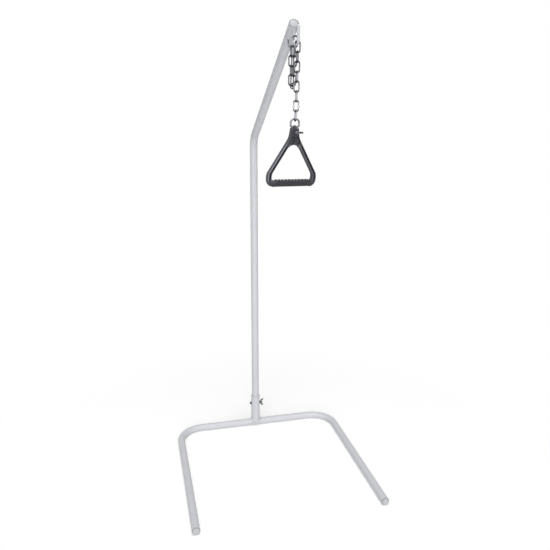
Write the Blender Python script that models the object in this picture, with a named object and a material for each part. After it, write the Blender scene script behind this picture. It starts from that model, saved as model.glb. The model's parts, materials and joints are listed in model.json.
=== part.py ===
"""A freestanding trapeze: a tube base, a cranked mast and a grab handle on a chain.

Metres, +Z up, the legs and the arm reach towards -Y, and the part stands on z = 0.
"""
import math

import bmesh
import bpy
from mathutils import Matrix, Vector

# Clearances between pieces
SEAT_GAP = 0.0003
RUN_GAP = 0.0004

# Tubes of the stand
BASE_DIAMETER = 0.034
MAST_DIAMETER = 0.036
TUBE_WALL = 0.002
LEG_SPACING = 0.8026
LEG_LENGTH = 0.7845
BASE_BEND_RADIUS = 0.114
MAST_HEIGHT = 1.471
ARM_LENGTH = 0.812
ARM_RISE_ANGLE = math.radians(30.4)
ARM_BEND_RADIUS = 0.075
TUBE_SIDES = 24
BEND_STEPS = 8

# Domed plugs in the open tube ends
LEG_PLUG_DOME = 0.0060
ARM_CAP_DOME = 0.0075
PLUG_RIM = 0.0014
PLUG_CHAMFER = 0.0004
PLUG_STEM = 0.017
PLUG_STEM_WALL = 0.0018
DIMPLE_RADIUS = 0.0022
DIMPLE_FLOOR = 0.0013
DIMPLE_DEPTH = 0.0006
DOME_STEPS = 4

# Socket on the crossbar
SOCKET_DIAMETER = 0.044
SOCKET_WALL = 0.002
SOCKET_TOP = 0.1495
SOCKET_FOOT = 0.006
BUSH_LIP_HEIGHT = 0.0024
BUSH_LIP_PROUD = 0.0008
BUSH_LIP_CHAMFER = 0.0010
BUSH_LENGTH = 0.026
WELD_LEG_SIDE = 0.0105
WELD_LEG_FRONT = 0.0034
WELD_HOLLOW = 0.30
WELD_ROOT = 0.0030
WELD_LAP = 0.0012
WELD_STATIONS = 32

# Clamp screw through socket and mast, with its wing nut
CLAMP_HEIGHT = 0.110
CLAMP_SHANK = 0.008
CLAMP_HEAD = 0.013
CLAMP_HEAD_HEIGHT = 0.0053
CLAMP_WASHER = 0.016
WASHER_THICKNESS = 0.0016
WASHER_EDGE = 0.0002
CLAMP_BOLT_END = 0.0035
CLAMP_NUT_SPAN = 0.039
CLAMP_NUT_HEIGHT = 0.019
CLAMP_NUT_BOSS = 0.016
CLAMP_NUT_BOSS_HEIGHT = 0.0085
BOLT_CHAMFER = 0.0008
HOLE_SIDES = 16
SCREW_SIDES = 24

# Wing nut shape, as shares of its span, height and boss
WING_THICKNESS = 0.12
WING_ROOT_RISE = 0.06
WING_ELBOW_OUT = 0.80
WING_ELBOW_RISE = 0.36
WING_TIP_RISE = 0.86
WING_TIP_IN = 0.90
WING_NOTCH_IN = 0.66
WING_NOTCH_RISE = 0.84
WING_CROOK_IN = 0.45
WING_CROOK_RISE = 0.90
WING_SOFT = 0.20
WING_TIP_SOFT = 0.08
WING_EDGE = 0.0007
BOSS_SHOULDER = 0.0012

# Hook under the arm end
HOOK_ROD = 0.010
HOOK_SETBACK = 0.015
HOOK_NECK = 0.0225
HOOK_KNEE_RADIUS = 0.009
HOOK_SLOPE = math.radians(32.1)
HOOK_SHANK = 0.059
HOOK_BEND_RADIUS = 0.0085
HOOK_LIP_HEIGHT = 0.060
HOOK_BEND_STEPS = 7
HOOK_TIP_TURN = math.radians(81)
HOOK_TIP_STEPS = 3
HOOK_SIDES = 12

# Staple that keeps the end of the chain
STAPLE_WIRE = 0.005
STAPLE_WIDTH = 0.022
STAPLE_SETBACK = 0.064
STAPLE_DROP = 0.0275
STAPLE_CORNER = 0.0055

# Chain
LINK_WIRE = 0.005
LINK_PITCH = 0.0316
LINK_HOLE = 0.012
MAIN_LINKS = 8
SLACK_BACK_LINKS = 4
SLACK_FRONT_LINKS = 5
CHAIN_LEAN = math.radians(0.9)
LAST_LINK_LEAN = math.radians(4.0)
SLACK_PAST_KNEE = 0.0072
WIRE_SIDES = 8
LINK_ARC_STEPS = 5

# Ring between chain and handle
RING_WIRE = 0.0065
RING_WIDTH = 0.0415
RING_HEIGHT = 0.0315
RING_CORNER = 0.0048
RING_SHOULDER = 0.0115
RING_SIDES = 10
HANDLE_LEAN = math.radians(-1.9)
HANDLE_YAW = math.radians(20.0)

# Strap that holds the ring in the neck of the handle
STRAP_WIDTH = 0.008
STRAP_THICKNESS = 0.0018
STRAP_LENGTH = 0.0275
STRAP_BEND_STEPS = 8

# Neck screw with its wing nut
NECK_SHANK = 0.006
NECK_HEAD = 0.010
NECK_HEAD_HEIGHT = 0.004
NECK_WASHER = 0.012
NECK_WASHER_THICKNESS = 0.0014
NECK_BOLT_END = 0.0030
NECK_NUT_SPAN = 0.038
NECK_NUT_HEIGHT = 0.0180
NECK_NUT_BOSS = 0.0135
NECK_NUT_BOSS_HEIGHT = 0.0080
NECK_BOLT_DEPTH = 0.0150
NECK_NUT_TURN = math.radians(4.0)

# Moulded handle, depths measured down from the top of its neck
NECK_DROP = 0.0040
HANDLE_HEIGHT = 0.2010
HANDLE_WIDTH = 0.2046
HANDLE_THICKNESS = 0.018
NECK_WIDTH = 0.0270
NECK_CORNER = 0.0020
KNEE_WIDTH = 0.0372
KNEE_DEPTH = 0.0335
KNEE_ROUND = 0.050
HIP_DEPTH = 0.1570
HIP_ROUND = 0.028
HEEL_ROUND = 0.027
ARCH_DEPTH = 0.0572
ARCH_ROUND = 0.0378
ARM_SPREAD = math.radians(34.1)
HIP_BAR = 0.0147
OPENING_HIP_ROUND = 0.030
OPENING_CORNER = 0.007
HANDLE_EDGE = 0.0022
HANDLE_RIM = 0.0030
HANDLE_WEB = 0.0065
POCKET_DRAFT = 0.0005
CHANNEL_WIDTH = 0.0050
CHANNEL_TOP = 0.062
CHANNEL_BOTTOM = 0.176
CHANNEL_ROUND = 0.035
PANEL_TOP = 0.0290
PANEL_LOW = 0.0480
PANEL_SWEEP = math.radians(24.0)
PANEL_RIB = 0.0036
PANEL_STEPS = 4

# Grip along the foot of the handle
GRIP_HEIGHT = 0.0235
GRIP_DEPTH = 0.0220
GRIP_SIDES = 12
GRIP_SQUARENESS = 0.80
GRIP_LAP = 0.004
GRIP_END = 0.96
GRIP_TAPER = 0.007
RIDGE_COUNT = 10
RIDGE_PITCH = 0.0142
RIDGE_HEIGHT = 0.0014
RIDGE_STEPS = 4

# Worked out from the sizes above
BASE_RADIUS = BASE_DIAMETER / 2
MAST_RADIUS = MAST_DIAMETER / 2
BASE_FLAT = BASE_RADIUS * math.cos(math.pi / TUBE_SIDES)
ARM_TURN = math.pi / 2 - ARM_RISE_ANGLE
ARM_END_Y = -ARM_LENGTH * math.cos(ARM_RISE_ANGLE)
ARM_END_Z = MAST_HEIGHT + ARM_LENGTH * math.sin(ARM_RISE_ANGLE)
LINK_ARC = (LINK_HOLE + LINK_WIRE) / 2
LINK_REACH = LINK_PITCH + LINK_WIRE + SEAT_GAP
LINK_SEAT = LINK_WIRE + SEAT_GAP
HOOK_SEAT_RISE = (HOOK_ROD + LINK_WIRE) / 2 + SEAT_GAP
RING_RISE = (LINK_WIRE + RING_WIRE) / 2 + SEAT_GAP
RING_BAR = RING_RISE - (RING_HEIGHT - RING_WIRE)
SHARP_ANGLE = math.radians(35)
TINY = 1e-6


def material(name, colour, roughness, metallic):
    made = bpy.data.materials.new(name)
    made.use_nodes = True
    shader = made.node_tree.nodes["Principled BSDF"]
    shader.inputs["Base Color"].default_value = (*colour, 1.0)
    shader.inputs["Roughness"].default_value = roughness
    shader.inputs["Metallic"].default_value = metallic
    made.diffuse_color = (*colour, 1.0)
    return made


def make_object(name, bm, coat=None):
    """Turn a bmesh into an object with outward faces, shaded smooth up to its real edges."""
    bmesh.ops.recalc_face_normals(bm, faces=bm.faces)
    mesh = bpy.data.meshes.new(name)
    bm.to_mesh(mesh)
    bm.free()
    mesh.shade_smooth()
    mesh.set_sharp_from_angle(angle=SHARP_ANGLE)
    made = bpy.data.objects.new(name, mesh)
    if coat:
        mesh.materials.append(coat)
    bpy.context.scene.collection.objects.link(made)
    return made


def place(piece, parent, location=(0, 0, 0), rotation=(0, 0, 0)):
    piece.parent = parent
    piece.location = location
    piece.rotation_euler = rotation
    return piece


def empty(name, parent=None, location=(0, 0, 0), rotation=(0, 0, 0)):
    made = bpy.data.objects.new(name, None)
    made.empty_display_size = 0.03
    bpy.context.scene.collection.objects.link(made)
    return place(made, parent, location, rotation)


def boolean(target, tool, operation):
    """Cut or join while both still lie in the same frame, then drop the tool."""
    modifier = target.modifiers.new(operation.lower(), "BOOLEAN")
    modifier.operation = operation
    modifier.solver = "EXACT"
    modifier.object = tool
    bpy.context.view_layer.update()
    evaluated = target.evaluated_get(bpy.context.evaluated_depsgraph_get())
    result = bpy.data.meshes.new_from_object(evaluated)
    target.modifiers.clear()
    target.data = result
    result.name = target.name
    result.set_sharp_from_angle(angle=SHARP_ANGLE)
    bpy.data.objects.remove(tool)
    return target


def bridge(bm, first, second):
    count = len(first)
    for i in range(count):
        j = (i + 1) % count
        bm.faces.new((first[i], first[j], second[j], second[i]))


def rounded_path(corners, radii, steps, closed=False):
    """Points along straight runs whose corners are replaced by arcs; a radius of 0 keeps the corner."""
    points = []
    count = len(corners)
    for i, (corner, radius) in enumerate(zip(corners, radii)):
        at_end = not closed and i in (0, count - 1)
        if radius == 0 or at_end:
            points.append(Vector(corner))
            continue
        here = Vector(corner)
        back = (Vector(corners[i - 1]) - here).normalized()
        ahead = (Vector(corners[(i + 1) % count]) - here).normalized()
        half = back.angle(ahead) / 2
        centre = here + (back + ahead).normalized() * (radius / math.sin(half))
        start = here + back * (radius / math.tan(half)) - centre
        finish = here + ahead * (radius / math.tan(half)) - centre
        axis = start.cross(finish).normalized()
        sweep_angle = start.angle(finish)
        for step in range(steps + 1):
            turn = Matrix.Rotation(sweep_angle * step / steps, 3, axis)
            points.append(centre + turn @ start)
    return points


def ring_at(bm, centre, along, normal, radius, sides, stretch=1.0):
    across = normal.cross(along).normalized()
    ring = []
    for k in range(sides):
        angle = math.tau * (k + 0.5) / sides
        offset = normal * math.cos(angle) + across * (math.sin(angle) * stretch)
        ring.append(bm.verts.new(centre + offset * radius))
    return ring


def tube_rings(bm, path, normal, radii, sides, closed):
    """One ring of points at each path point, mitred so that the tube keeps its width in bends."""
    rings = []
    count = len(path)
    for i, point in enumerate(path):
        before = path[i - 1] if closed or i > 0 else None
        after = path[(i + 1) % count] if closed or i < count - 1 else None
        arriving = (point - before).normalized() if before is not None else None
        leaving = (after - point).normalized() if after is not None else None
        arriving = arriving or leaving
        leaving = leaving or arriving
        along = (arriving + leaving).normalized()
        stretch = 1 / max(along.dot(leaving), 0.5)
        rings.append(ring_at(bm, point, along, normal, radii[i], sides, stretch))
    return rings


def sweep(name, path, normal, radius, sides, coat=None, closed=False, bore=0.0, radii=None):
    """A round bar along a flat path, or a tube where a bore radius is given."""
    bm = bmesh.new()
    normal = Vector(normal)
    radii = radii or [radius] * len(path)
    outer = tube_rings(bm, path, normal, radii, sides, closed)
    spans = len(path) if closed else len(path) - 1
    for i in range(spans):
        bridge(bm, outer[i], outer[(i + 1) % len(path)])
    if bore:
        inner = tube_rings(bm, path, normal, [bore] * len(path), sides, closed)
        for i in range(spans):
            bridge(bm, inner[i], inner[(i + 1) % len(path)])
        bridge(bm, outer[0], inner[0])
        bridge(bm, outer[-1], inner[-1])
    elif not closed:
        bm.faces.new(outer[0])
        bm.faces.new(outer[-1])
    return make_object(name, bm, coat)


def stack(name, layers, coat=None):
    """Join rings of equal point counts one above the other and close both ends."""
    bm = bmesh.new()
    rings = [[bm.verts.new(point) for point in layer] for layer in layers]
    for first, second in zip(rings, rings[1:]):
        bridge(bm, first, second)
    bm.faces.new(rings[0])
    bm.faces.new(rings[-1])
    return make_object(name, bm, coat)


def lathe(name, profile, sides, coat=None):
    """Turn a closed profile of (radius, height) about Z; points on the axis become one vertex."""
    bm = bmesh.new()
    rings = []
    for radius, height in profile:
        if radius < TINY:
            rings.append([bm.verts.new((0, 0, height))])
            continue
        ring = []
        for k in range(sides):
            angle = math.tau * (k + 0.5) / sides
            ring.append(bm.verts.new((radius * math.cos(angle), radius * math.sin(angle), height)))
        rings.append(ring)
    for first, second in zip(rings, rings[1:] + rings[:1]):
        if len(first) == 1 and len(second) == 1:
            continue
        if len(first) == 1 or len(second) == 1:
            tip, ring = (first[0], second) if len(first) == 1 else (second[0], first)
            for i in range(sides):
                bm.faces.new((tip, ring[i], ring[(i + 1) % sides]))
            continue
        bridge(bm, first, second)
    return make_object(name, bm, coat)


def cylinder_tool(radius, start, end, sides=24):
    """A plain bar between two points, to cut with."""
    start, end = Vector(start), Vector(end)
    along = (end - start).normalized()
    normal = along.orthogonal().normalized()
    return sweep("tool", [start, end], normal, radius, sides)


def box_tool(low, high):
    floor = [(low[0], low[1]), (high[0], low[1]), (high[0], high[1]), (low[0], high[1])]
    return stack("tool", [[(x, y, z) for x, y in floor] for z in (low[2], high[2])])


def circle_layer(radius, height, sides):
    layer = []
    for k in range(sides):
        angle = math.tau * k / sides
        layer.append((radius * math.cos(angle), radius * math.sin(angle), height))
    return layer


def hexagon_layer(across_flats, height, sides):
    """A hexagon with extra points on its flats, so that it joins to a circle of the same count."""
    layer = []
    sector = math.pi / 3
    for k in range(sides):
        angle = math.tau * k / sides
        in_sector = angle % sector - sector / 2
        radius = across_flats / 2 / math.cos(in_sector)
        layer.append((radius * math.cos(angle), radius * math.sin(angle), height))
    return layer


def hex_bolt(name, shank, length, head, head_height, coat):
    """A hexagon-headed screw: its shank runs up Z from the underside of the head at z = 0."""
    chamfer = BOLT_CHAMFER
    layers = [
        circle_layer(head / 2 - chamfer / 2, -head_height, SCREW_SIDES),
        hexagon_layer(head, chamfer - head_height, SCREW_SIDES),
        hexagon_layer(head, 0, SCREW_SIDES),
        circle_layer(shank / 2, 0, SCREW_SIDES),
        circle_layer(shank / 2, length - chamfer, SCREW_SIDES),
        circle_layer(shank / 2 - chamfer, length, SCREW_SIDES),
    ]
    return stack(name, layers, coat)


def washer(name, shank, outer, thickness, coat):
    hole = shank / 2 + SEAT_GAP
    rim = outer / 2
    profile = [
        (hole, 0),
        (rim - WASHER_EDGE, 0),
        (rim, WASHER_EDGE),
        (rim, thickness - WASHER_EDGE),
        (rim - WASHER_EDGE, thickness),
        (hole, thickness),
    ]
    return lathe(name, profile, HOLE_SIDES, coat)


def wing_outline(span, height, boss, boss_height):
    """One wing of a wing nut in its own plane: out from the boss, then up and away to a round tip."""
    half = span / 2
    root = WING_ROOT_RISE * height
    crook = (WING_CROOK_IN * boss, 0, WING_CROOK_RISE * boss_height)
    corners = [
        (0.0, 0, root),
        (WING_CROOK_IN * boss, 0, root),
        (WING_ELBOW_OUT * half, 0, WING_ELBOW_RISE * height),
        (half, 0, WING_TIP_RISE * height),
        (WING_TIP_IN * half, 0, height),
        (WING_NOTCH_IN * half, 0, WING_NOTCH_RISE * height),
        crook,
        (0.0, 0, crook[2]),
    ]
    soft = WING_SOFT * half
    tip = WING_TIP_SOFT * half
    return rounded_path(corners, [0, soft, soft, tip, tip, tip, 0, 0], 3, closed=True)


def wing_nut(name, shank, span, height, boss, boss_height, coat):
    """A wing nut standing on z = 0 with its wings along X."""
    rim = boss / 2
    profile = [
        (rim, 0),
        (rim, boss_height - 2 * BOSS_SHOULDER),
        (rim - BOSS_SHOULDER / 2, boss_height - BOSS_SHOULDER / 2),
        (rim - BOSS_SHOULDER, boss_height),
        (0, boss_height),
        (0, 0),
    ]
    nut = lathe(name, profile, HOLE_SIDES, coat)
    half = WING_THICKNESS * span / 2
    outline = wing_outline(span, height, boss, boss_height)
    spots = [(-half, WING_EDGE), (WING_EDGE - half, 0), (half - WING_EDGE, 0), (half, WING_EDGE)]
    for side in (1, -1):
        flat = [(side * point.x, point.z) for point in outline]
        layers = []
        for y, shrink in spots:
            layers.append([(x, y, z) for x, z in offset_outline(flat, -shrink)])
        boolean(nut, stack("tool", layers), "UNION")
    hole = shank / 2 + RUN_GAP
    return boolean(nut, cylinder_tool(hole, (0, 0, -height), (0, 0, height), HOLE_SIDES), "DIFFERENCE")


def offset_outline(points, distance):
    """Move a closed flat outline outwards, or inwards where the distance is negative."""
    count = len(points)
    area = sum(points[i - 1][0] * points[i][1] - points[i][0] * points[i - 1][1] for i in range(count))
    outward = 1 if area > 0 else -1
    moved = []
    for i in range(count):
        here = Vector(points[i])
        arriving = (here - Vector(points[i - 1])).normalized()
        leaving = (Vector(points[(i + 1) % count]) - here).normalized()
        first = Vector((arriving.y, -arriving.x))
        second = Vector((leaving.y, -leaving.x))
        mitre = first + second
        step = mitre * (outward * distance * 2 / max(mitre.length_squared, 0.5))
        moved.append(tuple(here + step))
    return moved


def beside(points, distance):
    """A copy of an open flat line, moved to its left by a distance."""
    moved = []
    last = len(points) - 1
    for i, point in enumerate(points):
        before = Vector(points[max(i - 1, 0)])
        after = Vector(points[min(i + 1, last)])
        along = (after - before).normalized()
        moved.append((point[0] - along.y * distance, point[1] + along.x * distance))
    return moved


def plug(name, tube_radius, dome, coat):
    """A moulded plug standing on a tube end at z = 0: domed head, and a hollow stem in the bore."""
    stem = tube_radius - TUBE_WALL - SEAT_GAP
    dome_radius = tube_radius - PLUG_CHAMFER
    rim = SEAT_GAP + PLUG_RIM
    pit = SEAT_GAP + dome - DIMPLE_DEPTH
    profile = [(0, pit), (DIMPLE_FLOOR, pit)]
    first = math.asin(DIMPLE_RADIUS / dome_radius)
    for step in range(DOME_STEPS + 1):
        angle = first + (math.pi / 2 - first) * step / DOME_STEPS
        profile.append((dome_radius * math.sin(angle), rim + (dome - PLUG_RIM) * math.cos(angle)))
    profile += [
        (tube_radius, rim - PLUG_CHAMFER),
        (tube_radius, SEAT_GAP),
        (stem, SEAT_GAP),
        (stem, SEAT_GAP - PLUG_STEM),
        (stem - PLUG_STEM_WALL, SEAT_GAP - PLUG_STEM),
        (stem - PLUG_STEM_WALL, SEAT_GAP),
        (0, SEAT_GAP),
    ]
    return lathe(name, profile, TUBE_SIDES, coat)


def base_tube(coat):
    """One U of tube on the floor: two legs and the crossbar behind them."""
    half = LEG_SPACING / 2
    corners = [(-half, -LEG_LENGTH, 0), (-half, 0, 0), (half, 0, 0), (half, -LEG_LENGTH, 0)]
    radii = [0, BASE_BEND_RADIUS, BASE_BEND_RADIUS, 0]
    path = rounded_path(corners, radii, BEND_STEPS)
    bore = BASE_RADIUS - TUBE_WALL
    return sweep("base_tube", path, (0, 0, 1), BASE_RADIUS, TUBE_SIDES, coat, bore=bore)


def clamp_bore(reach):
    """The cross hole that socket and mast share for the clamp screw."""
    hole = CLAMP_SHANK / 2 + SEAT_GAP
    return cylinder_tool(hole, (-reach, 0, CLAMP_HEIGHT), (reach, 0, CLAMP_HEIGHT), HOLE_SIDES)


def socket_tube(coat):
    """The upright socket, its lower end notched to sit over the crossbar."""
    outer = SOCKET_DIAMETER / 2
    inner = outer - SOCKET_WALL
    profile = [(inner, SOCKET_FOOT), (outer, SOCKET_FOOT), (outer, SOCKET_TOP), (inner, SOCKET_TOP)]
    socket = lathe("socket_tube", profile, TUBE_SIDES, coat)
    reach = SOCKET_DIAMETER
    boolean(socket, cylinder_tool(BASE_RADIUS + SEAT_GAP, (-reach, 0, 0), (reach, 0, 0)), "DIFFERENCE")
    return boolean(socket, clamp_bore(reach), "DIFFERENCE")


def weld_section(leg):
    """The fillet's section, outwards from the socket and up from the crossbar, hollow-faced."""
    belly = leg * WELD_HOLLOW
    return [
        (-WELD_LAP, -WELD_ROOT),
        (leg, -WELD_ROOT),
        (leg, 0.0),
        (belly, belly),
        (0.0, leg),
        (-WELD_LAP, leg),
    ]


def weld_bead(coat):
    """A fillet round the foot of the socket, broad along the crossbar and narrow across it."""
    outer = SOCKET_DIAMETER / 2
    saddle = BASE_RADIUS + SEAT_GAP
    bm = bmesh.new()
    rings = []
    for k in range(WELD_STATIONS):
        angle = math.tau * k / WELD_STATIONS
        leg = WELD_LEG_FRONT + (WELD_LEG_SIDE - WELD_LEG_FRONT) * math.cos(angle) ** 2
        reach = outer * abs(math.sin(angle))
        base = max(math.sqrt(max(saddle ** 2 - reach ** 2, 0.0)), SOCKET_FOOT)
        ring = []
        for out, up in weld_section(leg):
            spot = ((outer + out) * math.cos(angle), (outer + out) * math.sin(angle), base + up)
            ring.append(bm.verts.new(spot))
        rings.append(ring)
    for k in range(WELD_STATIONS):
        bridge(bm, rings[k], rings[(k + 1) % WELD_STATIONS])
    bead = make_object("weld_bead", bm, coat)
    reach = SOCKET_DIAMETER
    sides = 2 * TUBE_SIDES
    boolean(bead, cylinder_tool(saddle, (-reach, 0, 0), (reach, 0, 0), sides), "DIFFERENCE")
    low = (0, 0, SOCKET_FOOT - SEAT_GAP)
    return boolean(bead, cylinder_tool(outer + SEAT_GAP, low, (0, 0, SOCKET_TOP), sides), "DIFFERENCE")


def socket_bush(coat):
    """A thin plastic sleeve between socket and mast, with a lip over the socket's rim."""
    sleeve = SOCKET_DIAMETER / 2 - SOCKET_WALL - SEAT_GAP
    inner = MAST_RADIUS + SEAT_GAP
    lip = SOCKET_DIAMETER / 2 + BUSH_LIP_PROUD
    seat = SOCKET_TOP + SEAT_GAP
    profile = [
        (inner, seat - BUSH_LENGTH),
        (sleeve, seat - BUSH_LENGTH),
        (sleeve, seat),
        (lip, seat),
        (lip, seat + BUSH_LIP_HEIGHT - BUSH_LIP_CHAMFER),
        (lip - BUSH_LIP_CHAMFER, seat + BUSH_LIP_HEIGHT),
        (inner, seat + BUSH_LIP_HEIGHT),
    ]
    return lathe("socket_bush", profile, TUBE_SIDES, coat)


def mast_arm_tube(coat):
    """The mast stands on the crossbar inside the socket and is bent over into the rising arm."""
    foot = BASE_RADIUS + SEAT_GAP
    corners = [(0, 0, foot), (0, 0, MAST_HEIGHT), (0, ARM_END_Y, ARM_END_Z)]
    path = rounded_path(corners, [0, ARM_BEND_RADIUS, 0], BEND_STEPS)
    bore = MAST_RADIUS - TUBE_WALL
    mast = sweep("mast_arm_tube", path, (1, 0, 0), MAST_RADIUS, TUBE_SIDES, coat, bore=bore)
    return boolean(mast, clamp_bore(SOCKET_DIAMETER), "DIFFERENCE")


def arm_place(setback, drop):
    """A point in the arm's upright plane, behind the tube's end and below the tube's underside."""
    back = Vector((0, math.cos(ARM_RISE_ANGLE), -math.sin(ARM_RISE_ANGLE)))
    down = Vector((0, -math.sin(ARM_RISE_ANGLE), -math.cos(ARM_RISE_ANGLE)))
    return Vector((0, ARM_END_Y, ARM_END_Z)) + back * setback + down * (MAST_RADIUS + drop)


def arm_cope_tool():
    """The arm's round outside, grown by the seat gap, to notch what is welded under it."""
    end = Vector((0, ARM_END_Y, ARM_END_Z))
    back = Vector((0, math.cos(ARM_RISE_ANGLE), -math.sin(ARM_RISE_ANGLE)))
    far = end + back * ARM_LENGTH / 2
    return cylinder_tool(MAST_RADIUS + SEAT_GAP, far, end - back * MAST_DIAMETER, 2 * TUBE_SIDES)


def hook_corners():
    start = arm_place(HOOK_SETBACK, -TUBE_WALL)
    knee = arm_place(HOOK_SETBACK, HOOK_NECK)
    bottom = knee + Vector((0, -math.cos(HOOK_SLOPE), -math.sin(HOOK_SLOPE))) * HOOK_SHANK
    tip = bottom + Vector((0, 0, HOOK_LIP_HEIGHT))
    return [start, knee, bottom, tip]


def hook_seat():
    """The rod's centre at the lowest point of the hook."""
    bottom = hook_corners()[2]
    slope = HOOK_SLOPE
    rise = math.cos(slope) + (1 + math.sin(slope)) * math.tan(slope) - 1
    return bottom + Vector((0, HOOK_BEND_RADIUS, HOOK_BEND_RADIUS * rise))


def arm_hook(coat):
    """A round bar under the arm: down, forward along a slope, and up again as an open lip."""
    path = rounded_path(hook_corners(), [0, HOOK_KNEE_RADIUS, HOOK_BEND_RADIUS, 0], HOOK_BEND_STEPS)
    radius = HOOK_ROD / 2
    radii = [radius] * len(path)
    tip = path[-1]
    for step in range(1, HOOK_TIP_STEPS + 1):
        angle = HOOK_TIP_TURN * step / HOOK_TIP_STEPS
        path.append(tip + Vector((0, 0, radius * math.sin(angle))))
        radii.append(radius * math.cos(angle))
    hook = sweep("arm_hook", path, (1, 0, 0), radius, HOOK_SIDES, coat, radii=radii)
    return boolean(hook, arm_cope_tool(), "DIFFERENCE")


def chain_staple(coat):
    """A wire U under the arm that keeps the last link."""
    half = (STAPLE_WIDTH - STAPLE_WIRE) / 2
    aside = Vector((half, 0, 0))
    root = arm_place(STAPLE_SETBACK, -STAPLE_WIRE)
    bar = arm_place(STAPLE_SETBACK, STAPLE_DROP)
    corners = [root - aside, bar - aside, bar + aside, root + aside]
    path = rounded_path(corners, [0, STAPLE_CORNER, STAPLE_CORNER, 0], 4)
    normal = Vector((0, math.cos(ARM_RISE_ANGLE), -math.sin(ARM_RISE_ANGLE)))
    staple = sweep("chain_staple", path, normal, STAPLE_WIRE / 2, WIRE_SIDES, coat)
    return boolean(staple, arm_cope_tool(), "DIFFERENCE")


def chain_link(name, coat):
    """One welded link in the XZ plane, long way up, with its top wire's centre at the origin."""
    half_length = LINK_REACH / 2
    run = half_length - LINK_ARC * math.cos(math.pi / 2 / LINK_ARC_STEPS)
    path = []
    for end in (1, -1):
        for step in range(LINK_ARC_STEPS + 1):
            angle = math.pi * step / LINK_ARC_STEPS
            x = end * LINK_ARC * math.cos(angle)
            z = end * (run + LINK_ARC * math.sin(angle)) - half_length
            path.append(Vector((x, 0, z)))
    return sweep(name, path, (0, 1, 0), LINK_WIRE / 2, WIRE_SIDES, coat, closed=True)


def main_chain(stand, coat):
    """Links hung one in another from the hook; each pivots on the bar or link end that carries it."""
    pivot = empty("pivot_link_1", stand, hook_seat(), (0, CHAIN_LEAN, 0))
    rise = HOOK_SEAT_RISE
    for number in range(1, MAIN_LINKS + 1):
        quarter = math.pi / 2 * ((number + 1) % 2)
        place(chain_link(f"chain_link_{number}", coat), pivot, (0, 0, rise), (0, 0, quarter))
        below = (0, 0, rise - LINK_REACH)
        rise = LINK_SEAT
        if number == MAIN_LINKS:
            break
        lean = LAST_LINK_LEAN if number == MAIN_LINKS - 1 else 0
        pivot = empty(f"pivot_link_{number + 1}", pivot, below, (0, lean, 0))
    return empty("pivot_ring", pivot, below, (0, HANDLE_LEAN, HANDLE_YAW))


def strand_reach(links):
    """From the centre of a strand's first top wire to the centre of its last bottom wire."""
    return links * LINK_REACH - (links - 1) * LINK_SEAT


def bottom_link_span():
    return LINK_REACH - 2 * LINK_SEAT


def meeting_point(first, first_reach, second, second_reach):
    """Where two arms in the YZ plane meet below their ends."""
    gap = second - first
    distance = gap.length
    along = (first_reach ** 2 - second_reach ** 2 + distance ** 2) / (2 * distance)
    aside = math.sqrt(max(first_reach ** 2 - along ** 2, 0))
    unit = gap / distance
    across = Vector((0, unit.z, -unit.y))
    across = across if across.z < 0 else -across
    return first + unit * along + across * aside


def lean_towards(direction):
    """Turn about X that brings the link's downward run onto a direction in the YZ plane."""
    return math.atan2(direction.y, -direction.z)


def slack_top():
    """Centre of the top wire of the slack link that rides on the hook, just past its knee."""
    knee = hook_corners()[1]
    down_slope = Vector((0, -math.cos(HOOK_SLOPE), -math.sin(HOOK_SLOPE)))
    off_slope = Vector((0, -math.sin(HOOK_SLOPE), math.cos(HOOK_SLOPE)))
    return knee + down_slope * SLACK_PAST_KNEE + off_slope * HOOK_SEAT_RISE


def slack_chain(stand, coat):
    """The spare end of the chain: from the staple down, across one link and up to the hook."""
    bar = arm_place(STAPLE_SETBACK, STAPLE_DROP)
    top = bar + Vector((0, 0, (STAPLE_WIRE + LINK_WIRE) / 2 + SEAT_GAP))
    pivot = empty("pivot_slack_chain", stand, top)
    back_end = top - Vector((0, 0, strand_reach(SLACK_BACK_LINKS)))
    front_top = slack_top()
    front_end = meeting_point(back_end, bottom_link_span(), front_top, strand_reach(SLACK_FRONT_LINKS))
    number = 1
    for index in range(SLACK_BACK_LINKS):
        spot = Vector((0, 0, -index * LINK_PITCH))
        quarter = math.pi / 2 * ((index + 1) % 2)
        place(chain_link(f"slack_link_{number}", coat), pivot, spot, (0, 0, quarter))
        number += 1
    across = (front_end - back_end).normalized()
    bottom_top = back_end - across * LINK_SEAT - top
    bottom = place(chain_link(f"slack_link_{number}", coat), pivot, bottom_top)
    bottom.rotation_euler = (lean_towards(across), 0, math.pi / 2)
    bottom.rotation_mode = "ZYX"
    number += 1
    downward = (front_end - front_top).normalized()
    for index in range(SLACK_FRONT_LINKS - 1, -1, -1):
        spot = front_top + downward * (index * LINK_PITCH) - top
        quarter = math.pi / 2 * (index % 2)
        link = place(chain_link(f"slack_link_{number}", coat), pivot, spot)
        link.rotation_mode = "ZYX"
        link.rotation_euler = (lean_towards(downward), 0, quarter)
        number += 1
    return pivot


def hanger_ring(coat):
    """A ring with a straight bar below; the origin is on the link end that carries it."""
    half = (RING_WIDTH - RING_WIRE) / 2
    corners = [(-half, 0, RING_BAR), (half, 0, RING_BAR), (half, 0, RING_RISE), (-half, 0, RING_RISE)]
    radii = [RING_CORNER, RING_CORNER, RING_SHOULDER, RING_SHOULDER]
    path = rounded_path(corners, radii, 5, closed=True)
    return sweep("hanger_ring", path, (0, 1, 0), RING_WIRE / 2, RING_SIDES, coat, closed=True)


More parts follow.
